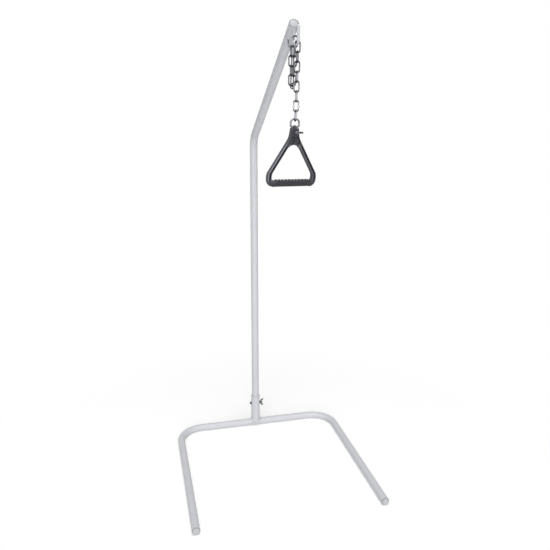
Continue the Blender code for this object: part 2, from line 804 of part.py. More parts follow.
def hanger_strap(coat):
    """A strip folded over the ring's bar, with both ends down in the neck's slot."""
    inner = RING_WIRE / 2 + SEAT_GAP
    outer = inner + STRAP_THICKNESS
    arc = [math.pi * step / STRAP_BEND_STEPS for step in range(STRAP_BEND_STEPS + 1)]
    over = [(outer * math.cos(a), outer * math.sin(a)) for a in arc]
    under = [(inner * math.cos(a), inner * math.sin(a)) for a in reversed(arc)]
    outline = [(outer, -STRAP_LENGTH)] + over + [(-outer, -STRAP_LENGTH), (-inner, -STRAP_LENGTH)]
    outline += under + [(inner, -STRAP_LENGTH)]
    half = STRAP_WIDTH / 2
    strap = stack("hanger_strap", [[(x, y, z) for y, z in outline] for x in (-half, half)], coat)
    return boolean(strap, neck_bore(), "DIFFERENCE")


def neck_bore():
    """The hole that neck and strap share for the neck screw."""
    depth = -NECK_DROP - NECK_BOLT_DEPTH
    reach = HANDLE_THICKNESS
    return cylinder_tool(NECK_SHANK / 2 + SEAT_GAP, (0, -reach, depth), (0, reach, depth), HOLE_SIDES)


def flat_line(corners, radii, steps, closed=False):
    """A rounded line in the handle's plane, as (x, depth) points."""
    path = rounded_path([(x, 0, depth) for x, depth in corners], radii, steps, closed)
    return [(point.x, point.z) for point in path]


def both_sides(half_line):
    """Close a line that starts and ends on the centre line by its mirror image."""
    mirrored = [(-x, depth) for x, depth in reversed(half_line) if x > TINY]
    return half_line + mirrored


def handle_outline():
    """Neck, slanting arms, hips and round heels."""
    hip = HANDLE_WIDTH / 2
    corners = [
        (0, 0),
        (NECK_WIDTH / 2, 0),
        (KNEE_WIDTH / 2, KNEE_DEPTH),
        (hip, HIP_DEPTH),
        (hip, HANDLE_HEIGHT),
        (0, HANDLE_HEIGHT),
    ]
    return both_sides(flat_line(corners, [0, NECK_CORNER, KNEE_ROUND, HIP_ROUND, HEEL_ROUND, 0], 6))


def opening_hip():
    return HANDLE_WIDTH / 2 - HIP_BAR


def opening_peak():
    """Depth at which the two long sides of the hand opening would meet."""
    return ARCH_DEPTH + ARCH_ROUND - ARCH_ROUND / math.sin(ARM_SPREAD)


def opening_hip_depth():
    return opening_peak() + opening_hip() / math.tan(ARM_SPREAD)


def opening_outline():
    """The hand opening: a round arch, two slanting sides and the grip's flat top."""
    hip = opening_hip()
    low = opening_hip_depth()
    floor = HANDLE_HEIGHT - GRIP_HEIGHT
    corners = [(0, opening_peak()), (hip, low), (hip, floor), (-hip, floor), (-hip, low)]
    radii = [ARCH_ROUND, OPENING_HIP_ROUND, OPENING_CORNER, OPENING_CORNER, OPENING_HIP_ROUND]
    return flat_line(corners, radii, 6, closed=True)


def to_handle(outline, y):
    return [(x, y, -NECK_DROP - depth) for x, depth in outline]


def rounded_plate(outline):
    """The handle's solid outline with its long edges rounded."""
    half = HANDLE_THICKNESS / 2
    soft = HANDLE_EDGE * (1 - math.sqrt(0.5))
    spots = [(-half, HANDLE_EDGE), (soft - half, soft), (HANDLE_EDGE - half, 0)]
    spots += [(-y, shrink) for y, shrink in reversed(spots)]
    return [to_handle(offset_outline(outline, -shrink), y) for y, shrink in spots]


def opening_layers(outline):
    """The hand opening as a cutter that also rounds its own edges."""
    half = HANDLE_THICKNESS / 2
    edge = HANDLE_EDGE
    soft = edge * (1 - math.sqrt(0.5))
    spots = [(-half - edge, 2 * edge), (-half, edge), (soft - half, soft), (edge - half, 0)]
    spots += [(-y, grow) for y, grow in reversed(spots)]
    return [to_handle(offset_outline(outline, grow), y) for y, grow in spots]


def pocket(body, outline):
    """Sink one pocket into the front and the back, leaving the web between them."""
    for side in (1, -1):
        floor = side * HANDLE_WEB / 2
        mouth = side * (HANDLE_THICKNESS / 2 + HANDLE_EDGE)
        layers = [to_handle(offset_outline(outline, -POCKET_DRAFT), floor), to_handle(outline, mouth)]
        boolean(body, stack("tool", layers), "DIFFERENCE")


def outer_side(depth):
    """Half width of the handle along its straight arm."""
    share = (depth - KNEE_DEPTH) / (HIP_DEPTH - KNEE_DEPTH)
    return KNEE_WIDTH / 2 + (HANDLE_WIDTH / 2 - KNEE_WIDTH / 2) * share


def inner_side(depth):
    return (depth - opening_peak()) * math.tan(ARM_SPREAD)


def arm_channels(body):
    """The long channels down the middle of the arms, which make them an I in section."""
    hip = (HANDLE_WIDTH / 2 + opening_hip()) / 2
    corners = [
        ((outer_side(CHANNEL_TOP) + inner_side(CHANNEL_TOP)) / 2, CHANNEL_TOP),
        (hip, (HIP_DEPTH + opening_hip_depth()) / 2),
        (hip, CHANNEL_BOTTOM),
    ]
    middle = flat_line(corners, [0, CHANNEL_ROUND, 0], 5)
    half = CHANNEL_WIDTH / 2
    band = beside(middle, half) + beside(middle, -half)[::-1]
    pocket(body, band)
    pocket(body, [(-x, depth) for x, depth in band])


def neck_panels(body):
    """Two sunk panels under the neck with a rib between them; they follow the arch."""
    rib = PANEL_RIB / 2
    radius = ARCH_ROUND + HANDLE_RIM
    centre = ARCH_DEPTH + ARCH_ROUND
    panel = [(rib, PANEL_TOP), (KNEE_WIDTH / 2 - HANDLE_RIM, PANEL_TOP)]
    panel.append((outer_side(PANEL_LOW) - HANDLE_RIM, PANEL_LOW))
    last = math.asin(rib / radius)
    for step in range(PANEL_STEPS + 1):
        angle = PANEL_SWEEP + (last - PANEL_SWEEP) * step / PANEL_STEPS
        panel.append((radius * math.sin(angle), centre - radius * math.cos(angle)))
    pocket(body, panel)
    pocket(body, [(-x, depth) for x, depth in panel])


def grip_reach():
    """Half length of the straight foot between the round heels."""
    return HANDLE_WIDTH / 2 - HEEL_ROUND


def grip_stations():
    """Places along the grip as (x, share of full depth, share of full height, ridge there)."""
    ridged = RIDGE_COUNT * RIDGE_PITCH
    count = RIDGE_COUNT * RIDGE_STEPS
    end = grip_reach() + GRIP_LAP
    slim = HANDLE_THICKNESS / GRIP_DEPTH * GRIP_END
    stations = [(-end, slim, GRIP_END, 0.0), (GRIP_TAPER - end, 1.0, 1.0, 0.0)]
    for k in range(count + 1):
        wave = (1 - math.cos(math.tau * k / RIDGE_STEPS)) / 2
        stations.append((ridged * (k / count - 0.5), 1.0, 1.0, wave * RIDGE_HEIGHT))
    stations += [(end - GRIP_TAPER, 1.0, 1.0, 0.0), (end, slim, GRIP_END, 0.0)]
    return stations


def grip():
    """The hand bar: a rounded section along X whose upper side carries small ridges."""
    half_height = GRIP_HEIGHT / 2
    half_depth = GRIP_DEPTH / 2
    centre = NECK_DROP + HANDLE_HEIGHT - half_height + TINY
    layers = []
    for x, deep, high, ridge in grip_stations():
        layer = []
        for k in range(GRIP_SIDES):
            angle = math.tau * (k + 0.5) / GRIP_SIDES
            aside = math.copysign(abs(math.cos(angle)) ** GRIP_SQUARENESS, math.cos(angle))
            up = math.copysign(abs(math.sin(angle)) ** GRIP_SQUARENESS, math.sin(angle))
            lift = half_height * high + ridge * max(math.sin(angle), 0.0)
            layer.append((x, half_depth * deep * aside, lift * up - centre))
        layers.append(layer)
    return stack("tool", layers)


def grip_gap_tool():
    """Clears the plate between the heels, where the grip takes its place."""
    across = grip_reach()
    reach = HANDLE_THICKNESS
    top = GRIP_HEIGHT + HANDLE_EDGE - NECK_DROP - HANDLE_HEIGHT
    return box_tool((-across, -reach, top - 2 * GRIP_HEIGHT), (across, reach, top))


def handle(coat):
    """The moulded triangle: plate, opening, channels, panels, ridged grip, slot and screw hole."""
    body = stack("handle", rounded_plate(handle_outline()), coat)
    boolean(body, stack("tool", opening_layers(opening_outline())), "DIFFERENCE")
    arm_channels(body)
    neck_panels(body)
    boolean(body, grip_gap_tool(), "DIFFERENCE")
    boolean(body, grip(), "UNION")
    across = STRAP_WIDTH / 2 + SEAT_GAP
    deep = RING_WIRE / 2 + STRAP_THICKNESS + 2 * SEAT_GAP
    slot_floor = -STRAP_LENGTH - SEAT_GAP
    boolean(body, box_tool((-across, -deep, slot_floor), (across, deep, 0)), "DIFFERENCE")
    return boolean(body, neck_bore(), "DIFFERENCE")


def clamp_set(stand, steel):
    """The cross screw: head on the left, wing nut on the right, a washer under each."""
    quarter = math.pi / 2
    outer = SOCKET_DIAMETER / 2
    face = outer + SEAT_GAP
    stack_height = WASHER_THICKNESS + SEAT_GAP
    head_face = face + stack_height
    length = 2 * head_face + CLAMP_NUT_BOSS_HEIGHT + CLAMP_BOLT_END
    bolt = hex_bolt("clamp_bolt", CLAMP_SHANK, length, CLAMP_HEAD, CLAMP_HEAD_HEIGHT, steel)
    place(bolt, stand, (-head_face, 0, CLAMP_HEIGHT), (0, quarter, 0))
    left = washer("head_washer", CLAMP_SHANK, CLAMP_WASHER, WASHER_THICKNESS, steel)
    place(left, stand, (-face - WASHER_THICKNESS, 0, CLAMP_HEIGHT), (0, quarter, 0))
    right = washer("nut_washer", CLAMP_SHANK, CLAMP_WASHER, WASHER_THICKNESS, steel)
    place(right, stand, (face, 0, CLAMP_HEIGHT), (0, quarter, 0))
    pivot = empty("pivot_clamp_wing_nut", stand, (head_face, 0, CLAMP_HEIGHT), (0, quarter, 0))
    wings = (CLAMP_NUT_SPAN, CLAMP_NUT_HEIGHT, CLAMP_NUT_BOSS, CLAMP_NUT_BOSS_HEIGHT)
    place(wing_nut("clamp_wing_nut", CLAMP_SHANK, *wings, steel), pivot)


def neck_set(pivot, steel):
    """The screw through neck and strap: head behind, washer and wing nut in front."""
    quarter = math.pi / 2
    depth = -NECK_DROP - NECK_BOLT_DEPTH
    face = HANDLE_THICKNESS / 2 + SEAT_GAP
    front = face + NECK_WASHER_THICKNESS + SEAT_GAP
    length = face + front + NECK_NUT_BOSS_HEIGHT + NECK_BOLT_END
    bolt = hex_bolt("neck_bolt", NECK_SHANK, length, NECK_HEAD, NECK_HEAD_HEIGHT, steel)
    place(bolt, pivot, (0, face, depth), (quarter, 0, 0))
    ring = washer("neck_washer", NECK_SHANK, NECK_WASHER, NECK_WASHER_THICKNESS, steel)
    place(ring, pivot, (0, -face, depth), (quarter, 0, 0))
    spot = empty("pivot_neck_wing_nut", pivot, (0, -front, depth), (quarter, 0, 0))
    wings = (NECK_NUT_SPAN, NECK_NUT_HEIGHT, NECK_NUT_BOSS, NECK_NUT_BOSS_HEIGHT)
    nut = wing_nut("neck_wing_nut", NECK_SHANK, *wings, steel)
    place(nut, spot, (0, 0, 0), (0, 0, NECK_NUT_TURN))


def build():
    for old in list(bpy.data.objects):
        bpy.data.objects.remove(old)
    paint = material("grey_paint", (0.62, 0.63, 0.66), 0.38, 0.0)
    weld = material("painted_weld", (0.60, 0.61, 0.64), 0.45, 0.0)
    grey_plastic = material("grey_plastic", (0.60, 0.61, 0.63), 0.5, 0.0)
    zinc = material("zinc_steel", (0.52, 0.53, 0.56), 0.35, 0.9)
    dark_zinc = material("dark_zinc_steel", (0.25, 0.25, 0.28), 0.4, 0.9)
    charcoal = material("charcoal_plastic", (0.055, 0.055, 0.065), 0.45, 0.0)

    front_reach = LEG_LENGTH + LEG_PLUG_DOME + SEAT_GAP
    back_reach = SOCKET_DIAMETER / 2 + WELD_LEG_FRONT
    stand = empty("stand", None, (0, (front_reach - back_reach) / 2, BASE_FLAT))
    quarter = math.pi / 2
    half = LEG_SPACING / 2
    place(base_tube(paint), stand)
    for name, x in (("leg_plug_left", -half), ("leg_plug_right", half)):
        leg_plug = plug(name, BASE_RADIUS, LEG_PLUG_DOME, grey_plastic)
        place(leg_plug, stand, (x, -LEG_LENGTH, 0), (quarter, 0, 0))
    place(socket_tube(paint), stand)
    place(weld_bead(weld), stand)
    place(socket_bush(grey_plastic), stand)
    place(mast_arm_tube(paint), stand)
    arm_cap = plug("arm_end_cap", MAST_RADIUS, ARM_CAP_DOME, grey_plastic)
    place(arm_cap, stand, (0, ARM_END_Y, ARM_END_Z), (ARM_TURN, 0, 0))
    place(arm_hook(paint), stand)
    place(chain_staple(zinc), stand)
    clamp_set(stand, dark_zinc)

    ring_pivot = main_chain(stand, zinc)
    slack_chain(stand, zinc)
    place(hanger_ring(zinc), ring_pivot)
    handle_pivot = empty("pivot_handle", ring_pivot, (0, 0, RING_BAR))
    place(hanger_strap(dark_zinc), handle_pivot)
    place(handle(charcoal), handle_pivot)
    neck_set(handle_pivot, dark_zinc)


build()
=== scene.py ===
"""The looks of the freestanding trapeze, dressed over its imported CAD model.

Metres, +Z up. The legs and the arm reach towards -Y, and the part stands on z = 0.
"""

import json
from collections import namedtuple
from math import asin, copysign, cos, exp, pi, radians, sin, sqrt, tan, tau

import bmesh
import bpy
import numpy as np
from mathutils import Matrix, Vector

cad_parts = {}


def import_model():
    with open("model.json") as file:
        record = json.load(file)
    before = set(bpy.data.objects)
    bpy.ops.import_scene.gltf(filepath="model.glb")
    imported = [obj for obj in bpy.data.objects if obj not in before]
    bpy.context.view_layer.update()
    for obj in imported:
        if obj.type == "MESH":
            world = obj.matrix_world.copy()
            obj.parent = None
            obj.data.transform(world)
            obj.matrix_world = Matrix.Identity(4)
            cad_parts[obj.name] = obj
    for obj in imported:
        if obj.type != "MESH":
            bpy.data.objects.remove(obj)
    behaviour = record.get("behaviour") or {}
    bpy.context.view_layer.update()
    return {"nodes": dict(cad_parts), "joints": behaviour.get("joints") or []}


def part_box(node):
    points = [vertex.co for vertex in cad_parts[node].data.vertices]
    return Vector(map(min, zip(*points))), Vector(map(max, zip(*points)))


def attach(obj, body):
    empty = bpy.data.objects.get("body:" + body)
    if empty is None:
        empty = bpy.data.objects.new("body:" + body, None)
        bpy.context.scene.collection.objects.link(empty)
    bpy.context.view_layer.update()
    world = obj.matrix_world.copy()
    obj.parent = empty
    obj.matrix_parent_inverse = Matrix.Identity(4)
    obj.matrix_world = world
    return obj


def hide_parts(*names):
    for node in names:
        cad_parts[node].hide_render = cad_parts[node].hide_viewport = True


# The camera, measured from the middle of the crossbar, and its lens in pixels of the photograph
CAMERA_OFFSET = Vector((-0.5624, -2.7775, 1.6060))
CAMERA_YAW = radians(13.5)
CAMERA_PITCH = radians(15.7)
CAMERA_ROLL = radians(0.15)
FOCAL_PIXELS = 592.0
FRAME_PIXELS = 550.0
SENSOR_WIDTH = 36.0

# Light: plain level, so that a colour renders about as it is written; the softboxes look at one place
WORLD_FRONT = 0.74
WORLD_BACK = 0.3
WORLD_SIDE_FLAGS = 0.95
WORLD_TURN = 0.9
SOFTBOXES = (  # name, place, size and power
    ("key", Vector((-3.6, -12.9, 5.6)), 8.0, 560.0),
    ("top", Vector((-0.1, -0.5, 4.8)), 2.5, 95.0),
    ("fill", Vector((-1.6, -7.5, 0.8)), 3.0, 110.0),
)
LIT_PLACE = Vector((0, 0, 0.9))
FLOOR_SIZE = 30.0
FLOOR_COLOUR = 0.9
FLOOR_LIFT = 0.24
FLOOR_GAP = 0.0002
FADE_START = 0.7
FADE_END = 1.5

# Tubes of the stand
MAST_DIAMETER = 0.036
TUBE_WALL = 0.002
CAD_SIDES = 24
TUBE_SIDES = 64
BEND_STEPS = 28
BASE_BEND_RADIUS = 0.114
MAST_HEIGHT = 1.471
ARM_LENGTH = 0.812
ARM_RISE_ANGLE = radians(30.4)
ARM_BEND_RADIUS = 0.075
ARM_BACK = Vector((0, cos(ARM_RISE_ANGLE), -sin(ARM_RISE_ANGLE)))
TUBE_LIP = 0.0004

# Plugs in the tube ends
LEG_PLUG_DOME = 0.006
ARM_CAP_DOME = 0.0075
DOME_STEPS = 22
PLUG_RIM = 0.0014
PLUG_STEM = 0.017
PLUG_STEM_WALL = 0.0018
PLUG_CORNER = 0.0006
PLUG_FOOT = 0.0002
DIMPLE_RADIUS = 0.0022
DIMPLE_DEPTH = 0.0006
# Painted shade on the plugs, towards the rim and away from a lit spot.
RIM_SHADE = 0.55
RIM_SHADE_START = 0.66
RIM_SHADE_END = 0.98
CAP_LIT_SPOT = (-0.0025, -0.0060)
SEAT_GAP = 0.0003

# Socket on the crossbar and its weld
SOCKET_DIAMETER = 0.044
SOCKET_WALL = 0.002
SOCKET_TOP = 0.1495
SOCKET_FOOT = 0.006
BUSH_LIP_HEIGHT = 0.0024
BUSH_LIP_PROUD = 0.0008
BUSH_LENGTH = 0.026
WELD_LEG_SIDE = 0.0105
WELD_LEG_FRONT = 0.0034
WELD_SWAY = 0.0004
WELD_RIPPLE = 0.0022
WELD_RIPPLE_HEIGHT = 0.00022
WELD_RIPPLE_LAG = 1.1
WELD_HOLLOW = 1.7
WELD_ROOT = 0.001
ROOT_WELD_REACH = 0.0032
ROOT_WELD_HOLLOW = 1.3
ROOT_WELD_DEPTH = 0.0008
ROOT_WELD_INSIDE = 0.0006

# Screws with their wing nuts, and where the two of them sit
Screw = namedtuple("Screw", "shank pitch head head_height washer washer_height end "
                            "span height boss boss_height wing")
CLAMP = Screw(shank=0.008, pitch=0.00125, head=0.013, head_height=0.0053, washer=0.016,
              washer_height=0.0016, end=0.0035, span=0.039, height=0.019, boss=0.016,
              boss_height=0.0085, wing=0.12)
NECK = Screw(shank=0.006, pitch=0.001, head=0.010, head_height=0.004, washer=0.012,
             washer_height=0.0014, end=0.0030, span=0.038, height=0.0192, boss=0.0135,
             boss_height=0.0080, wing=0.165)
CLAMP_HEIGHT = 0.11
NECK_BOLT_DEPTH = 0.015
NECK_NUT_TURN = radians(4.0)
HEAD_FACE = 0.0003
HEAD_DISH = 0.0004
HEAD_CHAMFER = 0.0013
HEAD_EDGE = 0.00018
THREAD_DEPTH = 0.61
THREAD_CHAMFER = 0.0012
THREAD_ROWS = 12

# Wing nut shape, as shares of its span, height and boss, and the softness of its casting
WING_ROOT_RISE = 0.06
WING_ELBOW_OUT = 0.8
WING_ELBOW_RISE = 0.36
WING_TIP_RISE = 0.86
WING_TIP_IN = 0.9
WING_NOTCH_IN = 0.66
WING_NOTCH_RISE = 0.84
WING_CROOK_IN = 0.45
WING_CROOK_RISE = 0.9
WING_EDGES = ((-0.50, 0.0009), (-0.36, 0.0002), (-0.20, 0))
BOSS_TAPER = 0.0012
CASTING_GRAINS = 110

# Hook and staple under the arm
HOOK_ROD = 0.01
HOOK_SETBACK = 0.015
HOOK_NECK = 0.0225
HOOK_KNEE_RADIUS = 0.009
HOOK_SLOPE = radians(32.1)
HOOK_SHANK = 0.059
HOOK_BEND_RADIUS = 0.0085
HOOK_LIP_HEIGHT = 0.06
STAPLE_WIRE = 0.005
STAPLE_WIDTH = 0.022
STAPLE_SETBACK = 0.064
STAPLE_DROP = 0.0275
STAPLE_CORNER = 0.0055
ROD_SINK = TUBE_WALL * 0.6

# Chain and ring
LINK_WIRE = 0.005
LINK_PITCH = 0.0316
LINK_HOLE = 0.012
LINK_SEAM = 0.0022
LINK_SEAM_SWELL = 0.085
# How many links are painted in shade, in half shade and in light, from the top down.
SHADED_LINKS = 3
HALF_SHADED_LINKS = 2
LIT_LINKS = 3
SLACK_LINKS = 10
RING_WIRE = 0.0065
RING_WIDTH = 0.0415
RING_HEIGHT = 0.0315
RING_CORNER = 0.0048
RING_SHOULDER = 0.0115

# Strap in the neck of the handle
STRAP_WIDTH = 0.008
STRAP_THICKNESS = 0.0018
STRAP_LENGTH = 0.0275
STRAP_EDGE = 0.0003

# Moulded handle, depths measured down from the top of its neck
NECK_DROP = 0.004
HANDLE_HEIGHT = 0.201
HANDLE_WIDTH = 0.2046
HALF_WIDTH = HANDLE_WIDTH / 2
HANDLE_THICKNESS = 0.018
HALF_THICKNESS = HANDLE_THICKNESS / 2
NECK_WIDTH = 0.027
NECK_CORNER = 0.0022
KNEE_WIDTH = 0.0372
KNEE_DEPTH = 0.0335
KNEE_ROUND = 0.05
HIP_DEPTH = 0.157
HIP_ROUND = 0.028
HEEL_ROUND = 0.027
ARCH_DEPTH = 0.0572
ARCH_ROUND = 0.0378
ARM_SPREAD = radians(34.1)
HIP_BAR = 0.0147
OPENING_HIP_ROUND = 0.03
OPENING_CORNER = 0.007
HANDLE_EDGE = 0.0021
HANDLE_RIM = 0.003
HANDLE_WEB = 0.0065
POCKET_DRAFT = 0.0006
POCKET_EASE = 0.0007
CHANNEL_WIDTH = 0.005
CHANNEL_TOP = 0.062
CHANNEL_BOTTOM = 0.176
CHANNEL_ROUND = 0.035
PANEL_TOP = 0.029
PANEL_LOW = 0.048
PANEL_SWEEP = radians(24.0)
PANEL_RIB = 0.0036
PANEL_CORNER = 0.0013

# Grip along the foot of the handle
GRIP_HEIGHT = 0.0235
GRIP_DEPTH = 0.022
GRIP_SIDES = 48
GRIP_SQUARENESS = 0.8
GRIP_LAP = 0.004
GRIP_END = 0.96
GRIP_TAPER = 0.007
RIDGE_COUNT = 10
RIDGE_PITCH = 0.0142
RIDGE_HEIGHT = 0.0025
RIDGE_STEPS = 12
RIDGE_WRAP = 0.5
GRIP_TOP = GRIP_HEIGHT - NECK_DROP - HANDLE_HEIGHT
GRIP_REACH = HALF_WIDTH - HEEL_ROUND

# Hand opening: its half width at the hips, and the depths where its long sides would meet and where they end
OPENING_HIP = HALF_WIDTH - HIP_BAR
OPENING_PEAK = ARCH_DEPTH + ARCH_ROUND - ARCH_ROUND / sin(ARM_SPREAD)
OPENING_HIP_DEPTH = OPENING_PEAK + OPENING_HIP / tan(ARM_SPREAD)

TINY = 1e-6
SHARP_ANGLE = radians(40)
WHITE = (1, 1, 1, 1)


# Node materials

class Nodes:
    """A node tree with short calls; an input takes a value or another node's output."""

    def __init__(self, owner):
        owner.use_nodes = True
        self.tree = owner.node_tree

    def feed(self, socket, value):
        if isinstance(value, bpy.types.NodeSocket):
            self.tree.links.new(value, socket)
        else:
            socket.default_value = value

    def node(self, kind, inputs=None, **settings):
        """Add a node and give its outputs."""
        made = self.tree.nodes.new("ShaderNode" + kind)
        for key, value in settings.items():
            setattr(made, key, value)
        for key, value in (inputs or {}).items():
            self.feed(made.inputs[key], value)
        return made.outputs

    def spread(self, value, low, high, to_low=0.0, to_high=1.0, **settings):
        """A value remapped, clamped at both ends."""
        inputs = {"Value": value, "From Min": low, "From Max": high, "To Min": to_low, "To Max": to_high}
        return self.node("MapRange", inputs, **settings)["Result"]

    def math(self, operation, first, second=0.0, **settings):
        return self.node("Math", {0: first, 1: second}, operation=operation, **settings)["Value"]

    def times(self, product, *factors):
        for factor in factors:
            product = self.math("MULTIPLY", product, factor)
        return product

    def glow(self, strength):
        return self.node("Emission", {"Color": WHITE, "Strength": strength})["Emission"]

    def seen_directly(self):
        """1 for camera, glossy and transmission rays, 0 for the rest."""
        rays = self.node("LightPath")
        total = rays["Is Camera Ray"]
        for kind in ("Glossy", "Transmission"):
            total = self.math("ADD", total, rays[f"Is {kind} Ray"], use_clamp=True)
        return total


class Finish(Nodes):
    """A material on one Principled shader, built up as layers of colour and relief in object space."""

    def __init__(self, name, roughness, metallic=0.0, specular=0.5):
        self.material = bpy.data.materials.new(name)
        super().__init__(self.material)
        self.sockets = self.tree.nodes["Principled BSDF"].inputs
        self.sockets["Roughness"].default_value = roughness
        self.sockets["Metallic"].default_value = metallic
        self.sockets["Specular IOR Level"].default_value = specular
        self.place = self.node("TexCoord")["Object"]
        self.relief = {}

    def noise(self, scale, detail=2.0, roughness=0.5):
        inputs = {"Vector": self.place, "Scale": scale, "Detail": detail, "Roughness": roughness}
        return self.node("TexNoise", inputs)["Fac"]

    def patches(self, low, high, *noise):
        """A mask of the places where noise rises from one value to another."""
        return self.spread(self.noise(*noise), low, high)

    def axis(self, letter):
        return self.node("SeparateXYZ", {"Vector": self.place})[letter]

    def size(self, value):
        return self.math("ABSOLUTE", value)

    def off_axis(self, x, y):
        """Distance from a line along the object's Z at x and y."""
        inputs = {0: self.place, 1: (1, 1, 0), 2: (-x, -y, 0)}
        flat = self.node("VectorMath", inputs, operation="MULTIPLY_ADD")["Vector"]
        return self.node("VectorMath", {0: flat}, operation="LENGTH")["Value"]

    def blend(self, mask, first, second):
        """A colour between two, each a tuple or another colour output."""
        first, second = ((*c, 1.0) if isinstance(c, tuple) else c for c in (first, second))
        return self.node("Mix", {0: mask, 6: first, 7: second}, data_type="RGBA")[2]

    def cloud(self, colour, dark, light, *noise):
        """Start from a colour that wanders softly between two shades."""
        self.base = self.blend(self.patches(0.35, 0.65, *noise), shade(colour, dark), shade(colour, light))

    def lay(self, mask, colour):
        """Lay a colour over what is there so far."""
        self.base = self.blend(mask, self.base, colour)

    def gloss(self, low, high, *noise):
        """Roughness that wanders between two values."""
        self.feed(self.sockets["Roughness"], self.spread(self.noise(*noise), 0.3, 0.7, low, high))

    def bump(self, value, depth):
        """Add relief; depth is its height in metres."""
        inputs = {"Strength": 1.0, "Distance": depth, "Height": value, **self.relief}
        self.relief = {"Normal": self.node("Bump", inputs)["Normal"]}

    def done(self):
        self.feed(self.sockets["Base Color"], self.base)
        self.feed(self.sockets["Normal"], self.relief["Normal"])
        return self.material


def shade(colour, factor):
    return tuple(min(1.0, channel * factor) for channel in colour)


def powder_coat(name, colour):
    """Light grey powder coat: soft blotches, fine specks, light scuffs and a faint orange peel."""
    coat = Finish(name, 0.42, specular=0.22)
    coat.cloud(colour, 0.980, 1.010, 5.0, 3.0)
    coat.lay(coat.patches(0.62, 0.70, 1500.0, 1.0), shade(colour, 0.955))
    coat.lay(coat.patches(0.66, 0.74, 55.0, 5.0, 0.65), shade(colour, 0.94))
    coat.gloss(0.38, 0.50, 24.0, 4.0)
    coat.bump(coat.noise(420.0), 0.00002)
    coat.bump(coat.noise(60.0), 0.00004)
    return coat.done()


def weld_paint(name, colour):
    coat = Finish(name, 0.48, specular=0.35)
    coat.cloud(colour, 0.90, 1.0, 90.0, 3.0)
    coat.gloss(0.42, 0.58, 200.0, 3.0)
    coat.bump(coat.noise(600.0, 3.0), 0.00008)
    return coat.done()


def moulded(name, colour, dark, light):
    """Cloudy plastic."""
    coat = Finish(name, 0.5, specular=0.38)
    coat.cloud(colour, dark, light, 30.0, 3.0)
    return coat


def grained(coat, grain, depth):
    """The spark-eroded grain of a mould, and gloss that wanders where hands have been."""
    coat.gloss(0.42, 0.58, 45.0, 4.0)
    coat.bump(coat.noise(grain), depth)
    cells = coat.node("TexVoronoi", {"Vector": coat.place, "Scale": grain * 0.6})["Distance"]
    coat.bump(cells, depth * 0.5)
    return coat.done()


def light_plastic(name, colour, rim=None, lit_spot=(0, 0)):
    """Pale moulded plastic; a plug of it gets painted shade towards its rim, where its dome turns down, away
    from its lit spot.
    """
    coat = moulded(name, colour, 0.95, 1.03)
    if rim:
        # Painted shade towards the plug's rim.
        out = coat.off_axis(*lit_spot)
        coat.lay(coat.spread(out, rim * RIM_SHADE_START, rim * RIM_SHADE_END), shade(colour, RIM_SHADE))
    return grained(coat, 2200.0, 0.00002)


def handle_plastic(name, colour, highlight_colours, channel_shade_colour, groove_dirt_and_shade_colour):
    """Charcoal moulding: a painted highlight along the arms' rims, lighter on the left; painted shade in the
    channels; and dark valleys on the grip, partly dirt and partly painted shade.
    """
    coat = moulded(name, colour, 0.88, 1.10)
    coat.lay(coat.patches(0.64, 0.74, 700.0), shade(colour, 1.5))
    x, z = coat.axis("X"), coat.axis("Z")
    aside = coat.size(x)
    below_face = coat.math("SUBTRACT", HALF_THICKNESS, coat.size(coat.axis("Y")))
    depth = coat.times(coat.math("ADD", z, NECK_DROP), -1.0)

    (start, top), (hip, turn), (_, bottom) = channel_middle()
    run = coat.times(coat.math("SUBTRACT", depth, top), (hip - start) / (turn - top))
    middle = coat.math("MINIMUM", coat.math("ADD", run, start), hip)
    off = coat.size(coat.math("SUBTRACT", aside, middle))
    ragged = coat.math("ADD", off, coat.times(coat.noise(220.0, 4.0), 0.0012))
    arms = coat.spread(depth, top - 0.016, top)
    # Painted highlight along the rims beside each arm's channel, lighter on the left, where the key light
    # falls.
    painted_light = coat.times(
        coat.spread(ragged, 0.0046, 0.0066),
        coat.spread(below_face, 0.0052, 0.0030),
        arms,
        coat.spread(depth, bottom + 0.014, bottom + 0.002),
    )
    coat.lay(painted_light, coat.blend(coat.spread(x, -0.06, 0.06), *highlight_colours))
    # Painted shade down in the arms' channels.
    side = CHANNEL_WIDTH / 2
    channel_shade = coat.times(coat.spread(below_face, 0.0006, 0.0020), coat.spread(off, side + 0.0016, side + 0.0008))
    coat.lay(coat.times(channel_shade, arms), channel_shade_colour)

    ridged = RIDGE_COUNT * RIDGE_PITCH / 2
    foot = coat.spread(z, GRIP_TOP + 0.001, GRIP_TOP - 0.001)
    coat.lay(coat.times(foot, coat.spread(aside, HALF_WIDTH, ridged - 0.004)), shade(colour, 0.72))
    # Darker valleys between the grip's ridges: dirt in the creases, and painted shade there too.
    wave = coat.math("COSINE", coat.times(x, tau / RIDGE_PITCH))
    valley_dirt_and_shade = coat.times(foot, coat.spread(aside, ridged, ridged - 0.001), coat.spread(wave, 0.1, 1.0))
    coat.lay(valley_dirt_and_shade, groove_dirt_and_shade_colour)
    return grained(coat, 1600.0, 0.00004)


def plating(coat, colour, dull):
    """Zinc plate: clouded passivation with darker dull patches."""
    coat.cloud(colour, 0.86, 1.10, 160.0, 3.0)
    coat.lay(coat.patches(0.56, 0.70, 420.0, 4.0, 0.6), shade(colour, dull))
    return coat.base


def tumbled(coat, roughness):
    """The fine marks of tumbling."""
    coat.gloss(roughness - 0.08, roughness + 0.12, 700.0, 3.0)
    coat.bump(coat.noise(1800.0, 3.0), 0.00002)
    coat.bump(coat.noise(450.0, 1.0), 0.00003)
    return coat.done()


def plated_steel(name, colour, roughness, dull):
    coat = Finish(name, roughness, metallic=1.0)
    plating(coat, colour, dull)
    return tumbled(coat, roughness)


